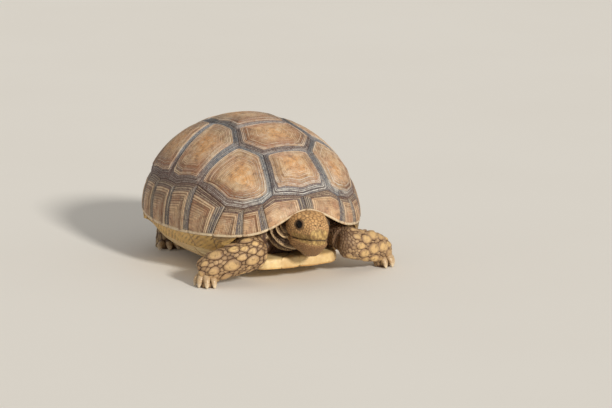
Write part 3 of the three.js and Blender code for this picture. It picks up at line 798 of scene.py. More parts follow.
# Rings along the body: y, half-width, top, bottom.
skull_rings = [
    (-135.4, 4.2, 50, 43), (-134.4, 7.4, 53.4, 41.9), (-131.4, 10.2, 57.4, 41.8), (-126, 12.9, 60.8, 40.6),
    (-119.5, 15.5, 63, 39.2), (-113, 17.4, 63.6, 38.3), (-105.5, 18.2, 61.4, 37.6), (-97, 15.5, 59, 37.5),
]
jaw_rings = [
    (-133.6, 4, 47, 39), (-131.8, 7.4, 47, 35.6), (-127, 10.8, 46, 31.8), (-119, 14, 46, 28.8),
    (-110, 15.8, 46, 28.6), (-100, 14.5, 46, 30),
]
neck_rings = [
    (-101, 19.2, 55.5, 29), (-96.5, 22, 56.5, 26.5), (-92.5, 22.6, 56, 26), (-89, 24, 56.5, 24.5),
    (-84, 24.5, 57, 23.5), (-70, 23, 58, 24),
]
# Limbs along their path: x, y, z, half-width across, half-height. They are given for the left side.
upper_arm = [(43, -64, 36, 10, 11), (43.5, -81, 34, 11, 12), (42, -94, 30.5, 10, 11.5)]
forearm = [
    (36.5, -98, 30, 6, 8), (41, -98.8, 29.4, 10.5, 12.8), (51, -96.2, 26, 11.5, 13.5),
    (61, -91.5, 22.6, 11, 13.4), (72, -86, 18.6, 10.5, 13), (81, -81.5, 14.8, 9.5, 11.5),
    (87, -79, 12.4, 6.5, 8),
]
palm = [(80.5, -81.5, 17, 8, 8), (81.5, -82, 8, 7.5, 7.5), (82, -82, -3, 7.2, 7.2)]
# Each claw from its root to its tip.
front_claws = [
    ((79, -86.5, 9.5), (80, -93.5, 0.5)), ((84, -85.5, 10.5), (86.5, -92, 0.5)),
    ((86, -82, 10.5), (91, -85, 0.6)),
    ((86, -78, 10), (91, -77, 0.8)), ((82.5, -75, 9.5), (85, -70.5, 1)),
]
REACH = {"left": 1.13, "right": 1.0}  # the left forearm is stretched out further from the elbow
REACH_FROM = 39
thigh = [(36, 62, 36, 12, 12), (40, 70, 32, 13.5, 14), (43, 77, 24, 12.5, 12.5)]
hind_foot = [(42.5, 76, 30, 11, 11), (43, 76, 12, 12.2, 11.7), (43.5, 75, -3, 13.5, 12.5)]
hind_claws = [
    ((37, 65, 5), (36, 59, 0.6)), ((43, 64, 5.2), (43, 57, 0.5)), ((49, 65, 5.2), (51, 58.5, 0.5)),
    ((54, 69, 5), (59, 64, 0.6)),
]
tail = [(0, 76, 33, 9.5, 8.5), (0, 86, 30.5, 7.5, 7), (0, 94, 26, 5, 5), (0, 101, 21, 1.6, 1.6)]
CORE_SIDES, BODY_SIDES, LIMB_SIDES, BALL_SIDES = 48, 64, 40, 24
SCALE_DEPTH = 0.8  # the skin lies this far inside, under the scales
FINE_DEPTH, TAIL_DEPTH = 0.3, 0.5  # and this far where they are fine, and on the tail
SKIN_GRAIN = 0.7  # the size of the merged skin's faces
SHOULDER, SHOULDER_RADII = (33, -74, 34), (20, 11, 15)
HIP, HIP_RADII = (30, 74, 34), (20, 11, 14)
CORE_INSET, CORE_BELLY = 5.2, 18.6  # how far the body lies inside the shell, and how high over the floor
CORE_FRONT, CORE_REAR = -76, 79
# Skin behind these places is out of sight, inside the shell.
HIDDEN_FRONT, HIDDEN_REAR, HIDDEN_LOW = -66, 60, 14
HIDDEN_CUT, COVERED_CUT = 0.97, 0.76  # shares of the faces taken out, out of sight and under the scales
HEAD_FROM, HEAD_REACH, HEAD_LOW = -99, 24, 24  # the head starts here, is this wide to each side, and this low
OVER_FLOOR = 0.05  # nothing comes nearer to the floor than this


def turned(y):
    return HEAD_SLOPE * np.minimum(0, y - NAPE)


def tilted(x, y):
    return -HEAD_TILT * x * np.clip((NAPE - y) / (NAPE - TILTED_BY), 0, 1)


def curve(places, values, at):
    """A smooth curve through the values."""
    places, values = np.asarray(places, float), np.asarray(values, float)
    step = np.diff(places)
    slope = np.diff(values) / step
    tangent = np.concatenate([slope[:1], (slope[:-1] + slope[1:]) / 2, slope[-1:]])
    k = np.clip(np.searchsorted(places, at) - 1, 0, len(step) - 1)
    t, h = (at - places[k]) / step[k], step[k]
    start = (2 * t ** 3 - 3 * t ** 2 + 1) * values[k] + (t ** 3 - 2 * t ** 2 + t) * h * tangent[k]
    return start + (3 * t ** 2 - 2 * t ** 3) * values[k + 1] + (t ** 3 - t ** 2) * h * tangent[k + 1]


def oval(count, squareness):
    angle = np.arange(count) * 2 * np.pi / count
    cos, sin = np.cos(angle), np.sin(angle)
    power = 2 / squareness
    return np.sign(cos) * np.abs(cos) ** power, np.sign(sin) * np.abs(sin) ** power


def body_rings(stations, squareness, inset):
    """Closed form through rings across the body, with the head's turn and tilt."""
    table = np.array(stations, float)
    y = np.linspace(table[0, 0], table[-1, 0], int(np.ptp(table[:, 0]) / 1.2) + 2)
    width, top, bottom = (curve(table[:, 0], table[:, k], y) for k in (1, 2, 3))
    across, up = oval(BODY_SIDES, squareness)
    x = (width - inset)[:, None] * across
    z = ((top + bottom) / 2)[:, None] + ((top - bottom) / 2 - inset)[:, None] * up
    y = np.broadcast_to(y[:, None], x.shape)
    return closed_tube(np.stack([turned(y) + x, y, z + tilted(x, y)], -1))


def limb_rings(path, side, inset):
    """Closed form through oval rings square to a path."""
    table = np.array(path, float)
    table[:, 0] *= side
    table[:, 3:] -= inset
    along = np.concatenate([[0], np.cumsum(np.linalg.norm(np.diff(table[:, :3], axis=0), axis=1))])
    at = np.linspace(0, along[-1], int(along[-1] / 1.2) + 2)
    centre = np.stack([curve(along, table[:, k], at) for k in range(3)], -1)
    width, height = (curve(along, table[:, k], at)[:, None, None] for k in (3, 4))
    direction = unit(np.gradient(centre, axis=0))
    steep = abs(direction[:, 2].mean()) > 0.85
    across = unit(np.cross((0, 1, 0) if steep else (0, 0, 1), direction))
    up = np.cross(direction, across)
    cos, sin = (part[None, :, None] for part in oval(LIMB_SIDES, 2))
    return closed_tube(centre[:, None] + across[:, None] * cos * width + up[:, None] * sin * height)


def ball(centre, radii):
    across, up = oval(BALL_SIDES, 2)
    lat = np.linspace(-np.pi / 2, np.pi / 2, 14)[1:-1]
    grid = np.stack([np.cos(lat)[:, None] * across, np.cos(lat)[:, None] * up,
                     np.sin(lat)[:, None] + 0 * across], -1)
    return closed_tube(np.array(centre) + grid * np.array(radii))


def reached(path, word):
    factor = REACH[word]
    return [(REACH_FROM + (p[0] - REACH_FROM) * factor, *p[1:]) for p in path]


def core():
    """The body inside the shell, with the belly flat."""
    angle = np.arange(CORE_SIDES) * 2 * np.pi / CORE_SIDES
    loops = []
    for rho in (0.15, 0.3, 0.45, 0.6, 0.72, 0.83, 0.92, 1):
        radius = (oval_radius(angle) - CORE_INSET) * np.sin(rho * np.pi / 2)
        height = RIM_HEIGHT + (DOME_HEIGHT - CORE_INSET) * np.cos(rho * np.pi / 2)
        loops.append(np.stack([radius * np.sin(angle), -radius * np.cos(angle), 0 * angle + height], -1))
    for share in (0.3, 0.6, 0.85, 1):
        radius = oval_radius(angle) - CORE_INSET - SLOPE_WIDTH * share
        height = CORE_BELLY + (RIM_HEIGHT - CORE_BELLY) * (1 - share) ** SLOPE_POWER
        loops.append(np.stack([radius * np.sin(angle), -radius * np.cos(angle), 0 * angle + height], -1))
    grid = np.array(loops)
    grid[..., 1] = np.clip(grid[..., 1], CORE_FRONT, CORE_REAR)
    return closed_tube(grid)


def flesh_forms():
    """The overlapping closed forms that the skin is merged from."""
    forms = [core()]
    forms.append(body_rings(skull_rings, HEAD_SQUARENESS, FINE_DEPTH))
    forms.append(body_rings(jaw_rings, HEAD_SQUARENESS, FINE_DEPTH))
    forms.append(body_rings(neck_rings, NECK_SQUARENESS, FINE_DEPTH))
    forms.append(limb_rings(tail, 1, TAIL_DEPTH))
    for word, side in (("left", 1), ("right", -1)):
        forms.append(limb_rings(upper_arm, side, SCALE_DEPTH))
        forms.append(limb_rings(reached(forearm, word), side, SCALE_DEPTH))
        forms.append(limb_rings(reached(palm, word), side, SCALE_DEPTH))
        forms.append(limb_rings(thigh, side, SCALE_DEPTH))
        forms.append(limb_rings(hind_foot, side, SCALE_DEPTH))
        forms.append(ball(np.array(SHOULDER) * (side, 1, 1), SHOULDER_RADII))
        forms.append(ball(np.array(HIP) * (side, 1, 1), HIP_RADII))
        forms.append(ball(eye_centre(side), [EYE_RADIUS + 0.4] * 3))
    return forms


def head_place(points):
    """Sideways, along and up in the head's own directions, as if it were neither turned nor tilted."""
    x = points[:, 0] - turned(points[:, 1])
    return x, points[:, 1], points[:, 2] - tilted(x, points[:, 1])


def beyond(rings, points, inset):
    """How far a place lies outside the form of these rings, about in mm."""
    x, y, z = head_place(points)
    table = np.array(rings, float)
    at = np.clip(y, table[0, 0], table[-1, 0])
    width, top, bottom = (curve(table[:, 0], table[:, k], at) for k in (1, 2, 3))
    half = (top - bottom) / 2 - inset
    share = (np.abs(x / (width - inset)) ** HEAD_SQUARENESS
             + np.abs((z - (top + bottom) / 2) / half) ** HEAD_SQUARENESS) ** (1 / HEAD_SQUARENESS)
    return (share - 1) * np.minimum(width, half)


EYE_OPENING = 3.2  # half the height of the opening between the lids
NOSTRIL_HEIGHT, NOSTRIL_SPREAD = 54.4, 2.3
NOSE_SHIFT = 1.0  # the pair of nostrils lies this far to the right
# Folds of the loose skin round the nape, each a slanting plane: y and z of a place on it, slant, strength.
NAPE_FOLDS = [(-92, 46.7, 1.5, 1.0), (-86, 45.5, 0.83, 1.0), (-80.5, 44, 0.5, 0.8), (-99, 46, 1.3, 0.45)]


def eye_centre(side):
    at = EYE * (side, 1, 1)
    return at + (turned(at[1]), 0, tilted(at[0], at[1]))


def sculpted(points, normals):
    """The head's and the neck's finer forms, with the values that their colours follow."""
    x, y, z = head_place(points)
    wide = np.abs(x)
    on_head = smooth(-y, 99, 105) * smooth(-wide, -24, -21) * smooth(z, 24, 27)
    over_skull, over_jaw = beyond(skull_rings, points, FINE_DEPTH), beyond(jaw_rings, points, FINE_DEPTH)
    lip = bump(over_skull, 0.7) * bump(over_jaw, 0.7) * smooth(-y, 108, 112)
    front = smooth(-y, 128, 131)
    mouth = mix(lip, bump(z - 43.5 + 0.04 * wide, 0.55), front)
    upper = mix((over_skull < over_jaw).astype(float), smooth(z, 43.0, 43.8), front)
    sheath_top = 46.4 + 5.2 * smooth(-y, 126, 133) * (1 - smooth(wide, 4, 10)) + 0.4 * np.sin(1.3 * y + wide)
    beak = on_head * smooth(-y, 109, 116) * upper * (1 - smooth(z - sheath_top, -0.6, 0.6))
    chin_foot = 36.6 + 0.2 * wide + 3.5 * smooth(y, -126, -112) + 0.4 * np.sin(1.7 * y)
    chin = on_head * smooth(-y, 112, 118) * (1 - upper) * smooth(z - chin_foot, -0.6, 0.6)
    from_nostril = np.hypot(np.abs(x + NOSE_SHIFT) - NOSTRIL_SPREAD, z - NOSTRIL_HEIGHT)
    nostril = bump(from_nostril, 0.62) * smooth(-y, 129, 131)
    nose_rim = bump(from_nostril - 1.2, 0.45) * smooth(-y, 129, 131)
    brow_line = curve([-135, -127, -118, -108], [55, 59.2, 60.6, 60], np.clip(y, -135, -108))
    brow = bump(z - brow_line, 1.6) * smooth(-y, 110, 115) * smooth(wide, 6, 9) * smooth(-y, -132, -127)
    cheek = bump(np.hypot((y + 106.5) / 1.25, z - 47) - 4.2, 0.8) * smooth(wide, 10, 14)
    jaw_line = bump(z - 37.2, 1.3) * smooth(-y, 104, 112) * smooth(wide, 5, 9) * (1 - upper)
    move = 0.25 * beak - 0.7 * mouth - 0.9 * nostril + 0.22 * nose_rim
    move += 0.6 * brow - 0.3 * cheek + 0.35 * jaw_line
    neck = smooth(y, -121, -114) * smooth(-y, 72, 78) * smooth(-wide, -28, -25) * smooth(wide, 2, 8)
    neck = neck * np.maximum(smooth(-z, -37, -33.5), smooth(y, -107.5, -102))
    # Crests of the nape's folds stand out and carry a painted highlight; the hollows between them sink in and
    # carry painted shade.
    crest, shaded_hollow = np.zeros(len(points)), np.zeros(len(points))
    for fold_y, fold_z, slant, strength in NAPE_FOLDS:
        ripple = 0.7 * np.sin(z / 2.6 + fold_y)
        off = (y - fold_y - slant * (z - fold_z) + ripple) / math.hypot(1, slant)
        crest = np.maximum(crest, bump(off, 0.85) * strength * neck)
        shaded_hollow = np.maximum(shaded_hollow, np.maximum(bump(off - 2.7, 1.6), bump(off + 2.7, 1.6)) * strength * neck)
    shaded_hollow = shaded_hollow * (1 - crest)
    fading = 1 - on_head * smooth(-y, 103, 110)
    crest, shaded_hollow = crest * fading, shaded_hollow * mix(0.4, 1, fading)
    move += 1.2 * crest - 2.4 * shaded_hollow
    points = points + normals * move[:, None]
    mouth_drop = curve([-136, -131, -124, -114, -106], [1.5, 1.9, 2.3, 1.6, 0], np.clip(y, -136, -106))
    points[:, 2] -= mouth_drop * bump(z - 42.5, 3.6) * smooth(-y, 104, 108) * smooth(-wide, -24, -21)
    throat = smooth(-wide, -13, -4) * bump(y + 116, 8) * smooth(-z, -37, -30)
    points[:, 2] -= 4.2 * throat
    lid = np.zeros(len(points))
    for side in (-1, 1):
        axis = unit(np.array([side * 0.94, -0.31, 0.14]))
        level = unit(np.cross(axis, (0, 0, 1)))
        offset = points - eye_centre(side)
        out = offset @ axis
        ring = np.hypot(offset @ level / 1.07, offset @ np.cross(level, axis) / 0.95)
        near = (out > 0.5) & (ring < 9)
        push = 0.32 * bump(ring - 4.1, 0.75) - 0.42 * bump(ring - 5.25, 0.36) + 0.2 * bump(ring - 6.1, 0.5)
        push -= 2.6 * (1 - smooth(ring, EYE_OPENING - 0.22, EYE_OPENING + 0.16))
        points = points + axis * (push * near)[:, None]
        turn = np.arctan2(offset @ np.cross(level, axis), offset @ level)
        crease = np.sin(17 * turn + 2 * np.sin(3 * turn)) * bump(ring - 4.4, 0.8)
        points = points + axis * (0.09 * crease * near)[:, None]
        lid = np.maximum(lid, (1 - smooth(ring, 4.2, 5.2)) * near)
        # Painted shade round the eye: the edge of the lids' opening and the crease round the lids are
        # darkened like the mouth line.
        dark_rim = 1 - smooth(ring, EYE_OPENING + 0.1, EYE_OPENING + 0.5)
        rim_lines = np.maximum(bump(ring - 5.3, 0.3) * 0.7, dark_rim)
        mouth = np.maximum(mouth, rim_lines * near)
    # Painted shade on the head: darker below the crown, on the lower jaw and at the nape under the hood,
    # lifted again under the eye.
    under_skull = np.clip((58 - z) / 14, 0, 1) * on_head
    under_head_shade = np.maximum(under_skull * 0.6, (1 - upper) * on_head * smooth(z, 42, 38)) * (1 - chin)
    under_head_shade = np.maximum(under_head_shade, 0.8 * smooth(y, -117, -108) * on_head * smooth(-z, -60, -52))
    below_eye = bump(np.hypot(y + 121.5, z - 53.4) - 6.0, 0.9) * smooth(-z, -51, -49) * upper
    under_head_shade = under_head_shade * (1 - below_eye)
    # Painted shade beside the neck and in the shell's openings, added to the painted shade in the folds'
    # hollows.
    deep = np.clip(smooth(y, -112, -103) * smooth(-wide, -33, -26) * (y < -60), 0, 1)
    deep = np.maximum(deep, (y > -86) * (y < -60) * smooth(-wide, -44, -34)) * (1 - 0.6 * on_head)
    values = {
        "face": on_head, "mouth": np.maximum(mouth, nostril), "beak": np.maximum(beak, chin), "lid": lid,
        "crest": crest, "shaded_hollow": np.clip(np.maximum(shaded_hollow, 0.7 * deep) * (1 - crest), 0, 1), "under_head_shade": under_head_shade,
    }
    return points, values


def skin_finish():
    f = Finish("scaly_skin", 0.62)
    cloud = f.noise(60, 4, 0.6)
    colour = f.blend(f.between(cloud, 0.35, 0.65), paint(102, 72, 48), paint(132, 98, 66))
    colour = f.blend(f.between(f.noise(420, 3, 0.6), 0.4, 0.7, 0.0, 0.5), colour, paint(78, 55, 38))
    head = f.blend(f.between(f.noise(110, 4, 0.6), 0.35, 0.65), paint(178, 146, 100), paint(196, 164, 116))
    # The head's painted shade: a darker mottle laid on below the crown, on the jaw and at the nape.
    shaded_head_mottle = f.blend(f.between(f.noise(260, 4, 0.7), 0.4, 0.6), paint(96, 66, 39), paint(160, 120, 74))
    head = f.blend(f.value("under_head_shade"), head, shaded_head_mottle)
    upright = f.noise(480, 3, 0.7, f.stretched(1, 1, 0.35))
    head = f.blend(f.between(upright, 0.45, 0.7, 0.0, 0.6), head, paint(96, 70, 44))
    colour = f.blend(f.value("face"), colour, head)
    sheath = f.blend(f.between(f.noise(190, 4, 0.65), 0.4, 0.6), paint(150, 116, 66), paint(206, 170, 104))
    sheath = f.blend(f.between(upright, 0.42, 0.62, 0.0, 0.6), sheath, paint(106, 76, 42))
    colour = f.blend(f.value("beak"), colour, sheath)
    lid = f.blend(f.between(f.noise(620, 4, 0.7), 0.42, 0.6), paint(94, 66, 36), paint(150, 112, 62))
    inner_lid = f.between(f.value("lid"), 0.35, 0.95)
    lid = f.blend(inner_lid, lid, f.blend(f.noise(400), paint(62, 42, 24), paint(118, 84, 46)))
    colour = f.blend(f.value("lid"), colour, lid)
    # Painted highlight on the crests of the neck's folds, and painted shade in the hollows between them and
    # in the shell's openings.
    colour = f.blend(f.value("crest"), colour, paint(236, 204, 156))
    colour = f.blend(f.value("shaded_hollow"), colour, paint(60, 34, 24))
    # Painted shade in the mouth line, the nostrils and the lids' creases and rims.
    colour = f.blend(f.value("mouth"), colour, paint(36, 24, 17))
    f.colour(colour)
    f.relief(f.plus(f.noise(900, 4, 0.7), f.cells(700)), 0.3, 0.8)
    return f.material


def thinned(skin, group_name, chosen, cut):
    """Fewer faces over part of the skin: this share of the chosen part is taken out."""
    group = skin.vertex_groups.new(name=group_name)
    for i in np.nonzero(chosen)[0].tolist():
        group.add([i], 1.0, "ADD")
    thin = skin.modifiers.new("thin", "DECIMATE")
    thin.ratio, thin.vertex_group = float(1 - cut * chosen.mean()), group_name
    bpy.ops.object.modifier_apply(modifier="thin")
    skin.vertex_groups.clear()


def build_skin():
    """One skin over the whole body: the forms merged, eased, thinned out of sight, and then sculpted."""
    points, faces = [], []
    for form_points, form_faces in flesh_forms():
        faces += [tuple(i + len(points) for i in f) for f in form_faces]
        points += form_points.tolist()
    skin = mesh_piece("skin", np.array(points), faces, skin_finish())
    bpy.ops.object.select_all(action="DESELECT")
    bpy.context.view_layer.objects.active = skin
    skin.select_set(True)
    merge = skin.modifiers.new("merge", "REMESH")
    merge.mode, merge.voxel_size = "VOXEL", SKIN_GRAIN * MM
    bpy.ops.object.modifier_apply(modifier="merge")
    settle = skin.modifiers.new("settle", "SMOOTH")
    settle.factor, settle.iterations = 0.5, 6
    bpy.ops.object.modifier_apply(modifier="settle")
    at = mesh_points(skin)
    thinned(skin, "hidden", inside_shell(at), HIDDEN_CUT)
    at = mesh_points(skin)
    beside_neck = np.abs(at[:, 0]) > 27
    covered = ~inside_shell(at) & (beside_neck | (at[:, 1] > HIDDEN_REAR) | (at[:, 2] < HIDDEN_LOW))
    thinned(skin, "under_scales", covered, COVERED_CUT)
    refine_head(skin)
    at = mesh_points(skin)
    at, values = sculpted(at, mesh_normals(skin))
    at[:, 2] = np.maximum(at[:, 2], OVER_FLOOR)
    set_points(skin, at)
    for key, numbers in values.items():
        layer = skin.data.attributes.new(key, "FLOAT", "POINT")
        layer.data.foreach_set("value", numbers.astype(np.float32))
    skin.data.polygons.foreach_set("use_smooth", [True] * len(skin.data.polygons))
    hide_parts("trunk", "neck", "head", "lower_jaw", "tail", "foreleg_left", "foreleg_right",
                "hindleg_left", "hindleg_right")
    return skin


def mesh_points(piece):
    flat = np.empty(len(piece.data.vertices) * 3)
    piece.data.vertices.foreach_get("co", flat)
    return (flat.reshape(-1, 3) - shell_middle) / MM


def mesh_normals(piece):
    flat = np.empty(len(piece.data.vertices) * 3)
    piece.data.vertex_normals.foreach_get("vector", flat)
    return flat.reshape(-1, 3)


def set_points(piece, points):
    piece.data.vertices.foreach_set("co", metres(points).ravel())
    piece.data.update()


def inside_shell(points):
    """Where the body is out of sight: well behind the shell's openings."""
    _, y, z = points.T
    return (y > HIDDEN_FRONT) & (y < HIDDEN_REAR) & (z > HIDDEN_LOW)


def refine_head(skin):
    """Finer faces on the head, for its lids, mouth and folds."""
    work = bmesh.new()
    work.from_mesh(skin.data)
    x, y, z = mesh_points(skin).T
    on_head = ((y < HEAD_FROM) & (np.abs(x) < HEAD_REACH) & (z > HEAD_LOW)).tolist()
    faces = [f for f in work.faces if all(on_head[v.index] for v in f.verts)]
    edges = list({e for f in faces for e in f.edges})
    bmesh.ops.subdivide_edges(work, edges=edges, cuts=1, use_grid_fill=True, smooth=0.6)
    work.to_mesh(skin.data)
    work.free()


def eyes():
    made = []
    for word, side in (("left", 1), ("right", -1)):
        bpy.ops.object.select_all(action="DESELECT")
        bpy.ops.mesh.primitive_uv_sphere_add(segments=48, ring_count=32, radius=EYE_RADIUS * MM,
                                             location=metres(eye_centre(side)))
        piece = bpy.context.object
        piece.name = f"eye_{word}"
        bpy.ops.object.transform_apply(location=True, rotation=True, scale=True)
        bpy.ops.object.shade_smooth()
        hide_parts(f"eye_{word}")
        made.append(piece)
    return made


def eye_finish():
    f = Finish("dark_eye", 0.18)
    f.colour(f.blend(f.between(f.noise(600, 3), 0.4, 0.7), paint(10, 8, 7), paint(24, 18, 12)))
    f.shader.inputs["Specular IOR Level"].default_value = 0.18
    return f.material


def claw_finish():
    f = Finish("claw_horn", 0.38)
    along = f.stretched(1, 1, 6)
    streak = f.noise(260, 4, 0.6, along)
    colour = f.blend(f.between(streak, 0.35, 0.7), paint(206, 178, 138), paint(166, 132, 96))
    colour = f.blend(f.value("tip"), colour, paint(224, 204, 172))
    colour = f.blend(f.value("root"), colour, paint(96, 70, 48))
    f.colour(colour)
    f.relief(streak, 0.2, 0.6)
    return f.material


CLAW_SIDES, CLAW_ROWS = 20, 15


def claw(name, start, end, material):
    """A blunt horn claw, curving down from the toe to the ground."""
    start, end = np.array(start, float), np.array(end, float)
    direction = end - start
    back = start - unit(direction) * 2.2 + (0, 0, 0.6)
    arch = (start + end) / 2 + (0, 0, 1.4) + unit(direction * (1, 1, 0)) * 1.1
    s = np.linspace(0, 1, CLAW_ROWS)
    route = [back, start, arch, end]
    centre = np.stack([curve([0, 0.22, 0.6, 1], [p[k] for p in route], s) for k in range(3)], -1)
    radius = curve([0, 0.22, 0.6, 0.9, 1], [2.8, 3.0, 2.5, 1.5, 0.6], s)
    way = unit(np.gradient(centre, axis=0))
    across = unit(np.cross((0, 0, 1), way))
    up = np.cross(way, across)
    cos, sin = oval(CLAW_SIDES, 2)
    ridge = 1 + 0.035 * np.sin(9 * np.arange(CLAW_SIDES)) * np.ones((CLAW_ROWS, 1))
    grid = (centre[:, None] + across[:, None] * (cos * radius[:, None] * 1.05 * ridge)[..., None]
            + up[:, None] * (sin * radius[:, None] * 0.85 * ridge)[..., None])
    grid[..., 2] = np.maximum(grid[..., 2], 0.08)
    points, faces = closed_tube(grid)
    share = np.concatenate([np.repeat(s, CLAW_SIDES), [0, 1]])
    values = {"tip": smooth(share, 0.7, 1), "root": 1 - smooth(share, 0.12, 0.4)}
    piece = mesh_piece(name, points, faces, material, values, crease_angle=80)
    return piece


def all_claws():
    material = claw_finish()
    made = []
    for word, side in (("left", 1), ("right", -1)):
        for i, (start, end) in enumerate(front_claws):
            ends = [(side * p[0], *p[1:]) for p in reached([start, end], word)]
            made.append(claw(f"front_claw_{word}_{i + 1}", *ends, material))
        for i, (start, end) in enumerate(hind_claws):
            ends = [(side * p[0], *p[1:]) for p in (start, end)]
            made.append(claw(f"hind_claw_{word}_{i + 1}", *ends, material))
    return made


# ---------------------------------------------------------------- scales

PACKED, SCATTERED = 0.43, 0.5  # how near two scales may start, as a share of their widths together


class Surface:
    """The skin as a surface to set scales on."""

    def __init__(self, skin):
        self.points = mesh_points(skin)
        self.normals = mesh_normals(skin)
        faces = [tuple(p.vertices) for p in skin.data.polygons]
        self.tree = BVHTree.FromPolygons([Vector(p) for p in self.points.tolist()], faces)

    def settled(self, points, heights):
        """The points moved onto the skin, each at its height over it."""
        found = np.empty_like(points)
        for i, point in enumerate(points.tolist()):
            at, normal, _, _ = self.tree.find_nearest(point)
            h = heights[i]
            found[i] = (at.x + normal.x * h, at.y + normal.y * h, at.z + normal.z * h)
        return found


PATH_STEPS = 40


def near_path(points, path, side=1):
    """Distance to a limb's path, the share along it, the direction there, and the angle round it."""
    table = np.array(path, float)[:, :3] * (side, 1, 1)
    along = np.concatenate([[0], np.cumsum(np.linalg.norm(np.diff(table, axis=0), axis=1))])
    at = np.linspace(0, along[-1], PATH_STEPS)
    centre = np.stack([curve(along, table[:, k], at) for k in range(3)], -1)
    way = unit(np.gradient(centre, axis=0))
    offset = points[:, None] - centre[None]
    nearest = np.linalg.norm(offset, axis=2).argmin(1)
    out = offset[np.arange(len(points)), nearest]
    direction = way[nearest]
    across = unit(np.cross((0.3, 0.2, 1), direction))
    angle = np.arctan2((out * np.cross(direction, across)).sum(1), (out * across).sum(1))
    return np.linalg.norm(out, axis=1), nearest / (PATH_STEPS - 1), direction, angle / (2 * np.pi) + 0.5


def sown(points, sizes, lie, stretch, rng, small):
    """Places and widths for the scales: spread at random, small ones between, and then evened out."""
    squash = (1 - 1 / stretch) * lie
    chosen = []
    kept = np.empty((len(points), 3))
    kept_size = np.empty(len(points))

    def apart(others, i):
        away = others - points[i]
        return away - (away @ lie[i])[:, None] * squash[i]

    rounds = [(sizes, PACKED)] if small is None else [(sizes, SCATTERED), (small, PACKED)]
    for wide, closest in rounds:
        for i in rng.permutation(len(points)):
            n = len(chosen)
            if n and (np.linalg.norm(apart(kept[:n], i), axis=1) < closest * (kept_size[:n] + wide[i])).any():
                continue
            kept[n], kept_size[n] = points[i], wide[i]
            chosen.append(i)
    chosen, width = np.array(chosen), kept_size[:len(chosen)]
    for _ in range(4):
        best = np.full(len(points), np.inf)
        owner = np.zeros(len(points), int)
        for k, c in enumerate(chosen):
            close = np.nonzero(np.abs(points - points[c]).max(1) < 1.2 * width[k])[0]
            power = (apart(points[close], c) ** 2).sum(1) - (width[k] / 2) ** 2
            better = power < best[close]
            best[close[better]], owner[close[better]] = power[better], k
        for k in range(len(chosen)):
            own = np.nonzero(owner == k)[0]
            if len(own):
                chosen[k] = own[((points[own] - points[own].mean(0)) ** 2).sum(1).argmin()]
    return chosen, width


# Profiles of a wide and a narrow scale, from the rim to the middle: share of the way out, and of its height.
PILLOW = [(1.0, -0.45), (1.0, 0.3), (0.92, 0.66), (0.72, 0.9), (0.4, 1.0)]
PEBBLE = [(1.0, -0.5), (1.0, 0.35), (0.78, 0.82)]
LEVEL_RISE = 0.35  # how much higher a scale stands at its tip, where it lies flat
WIDE, MIDDLING = 4.5, 2.4  # scales over these widths have 20 and 14 sides, and the rest 9
PATCH = 0.0015  # half the width of a scale's own patch in its map


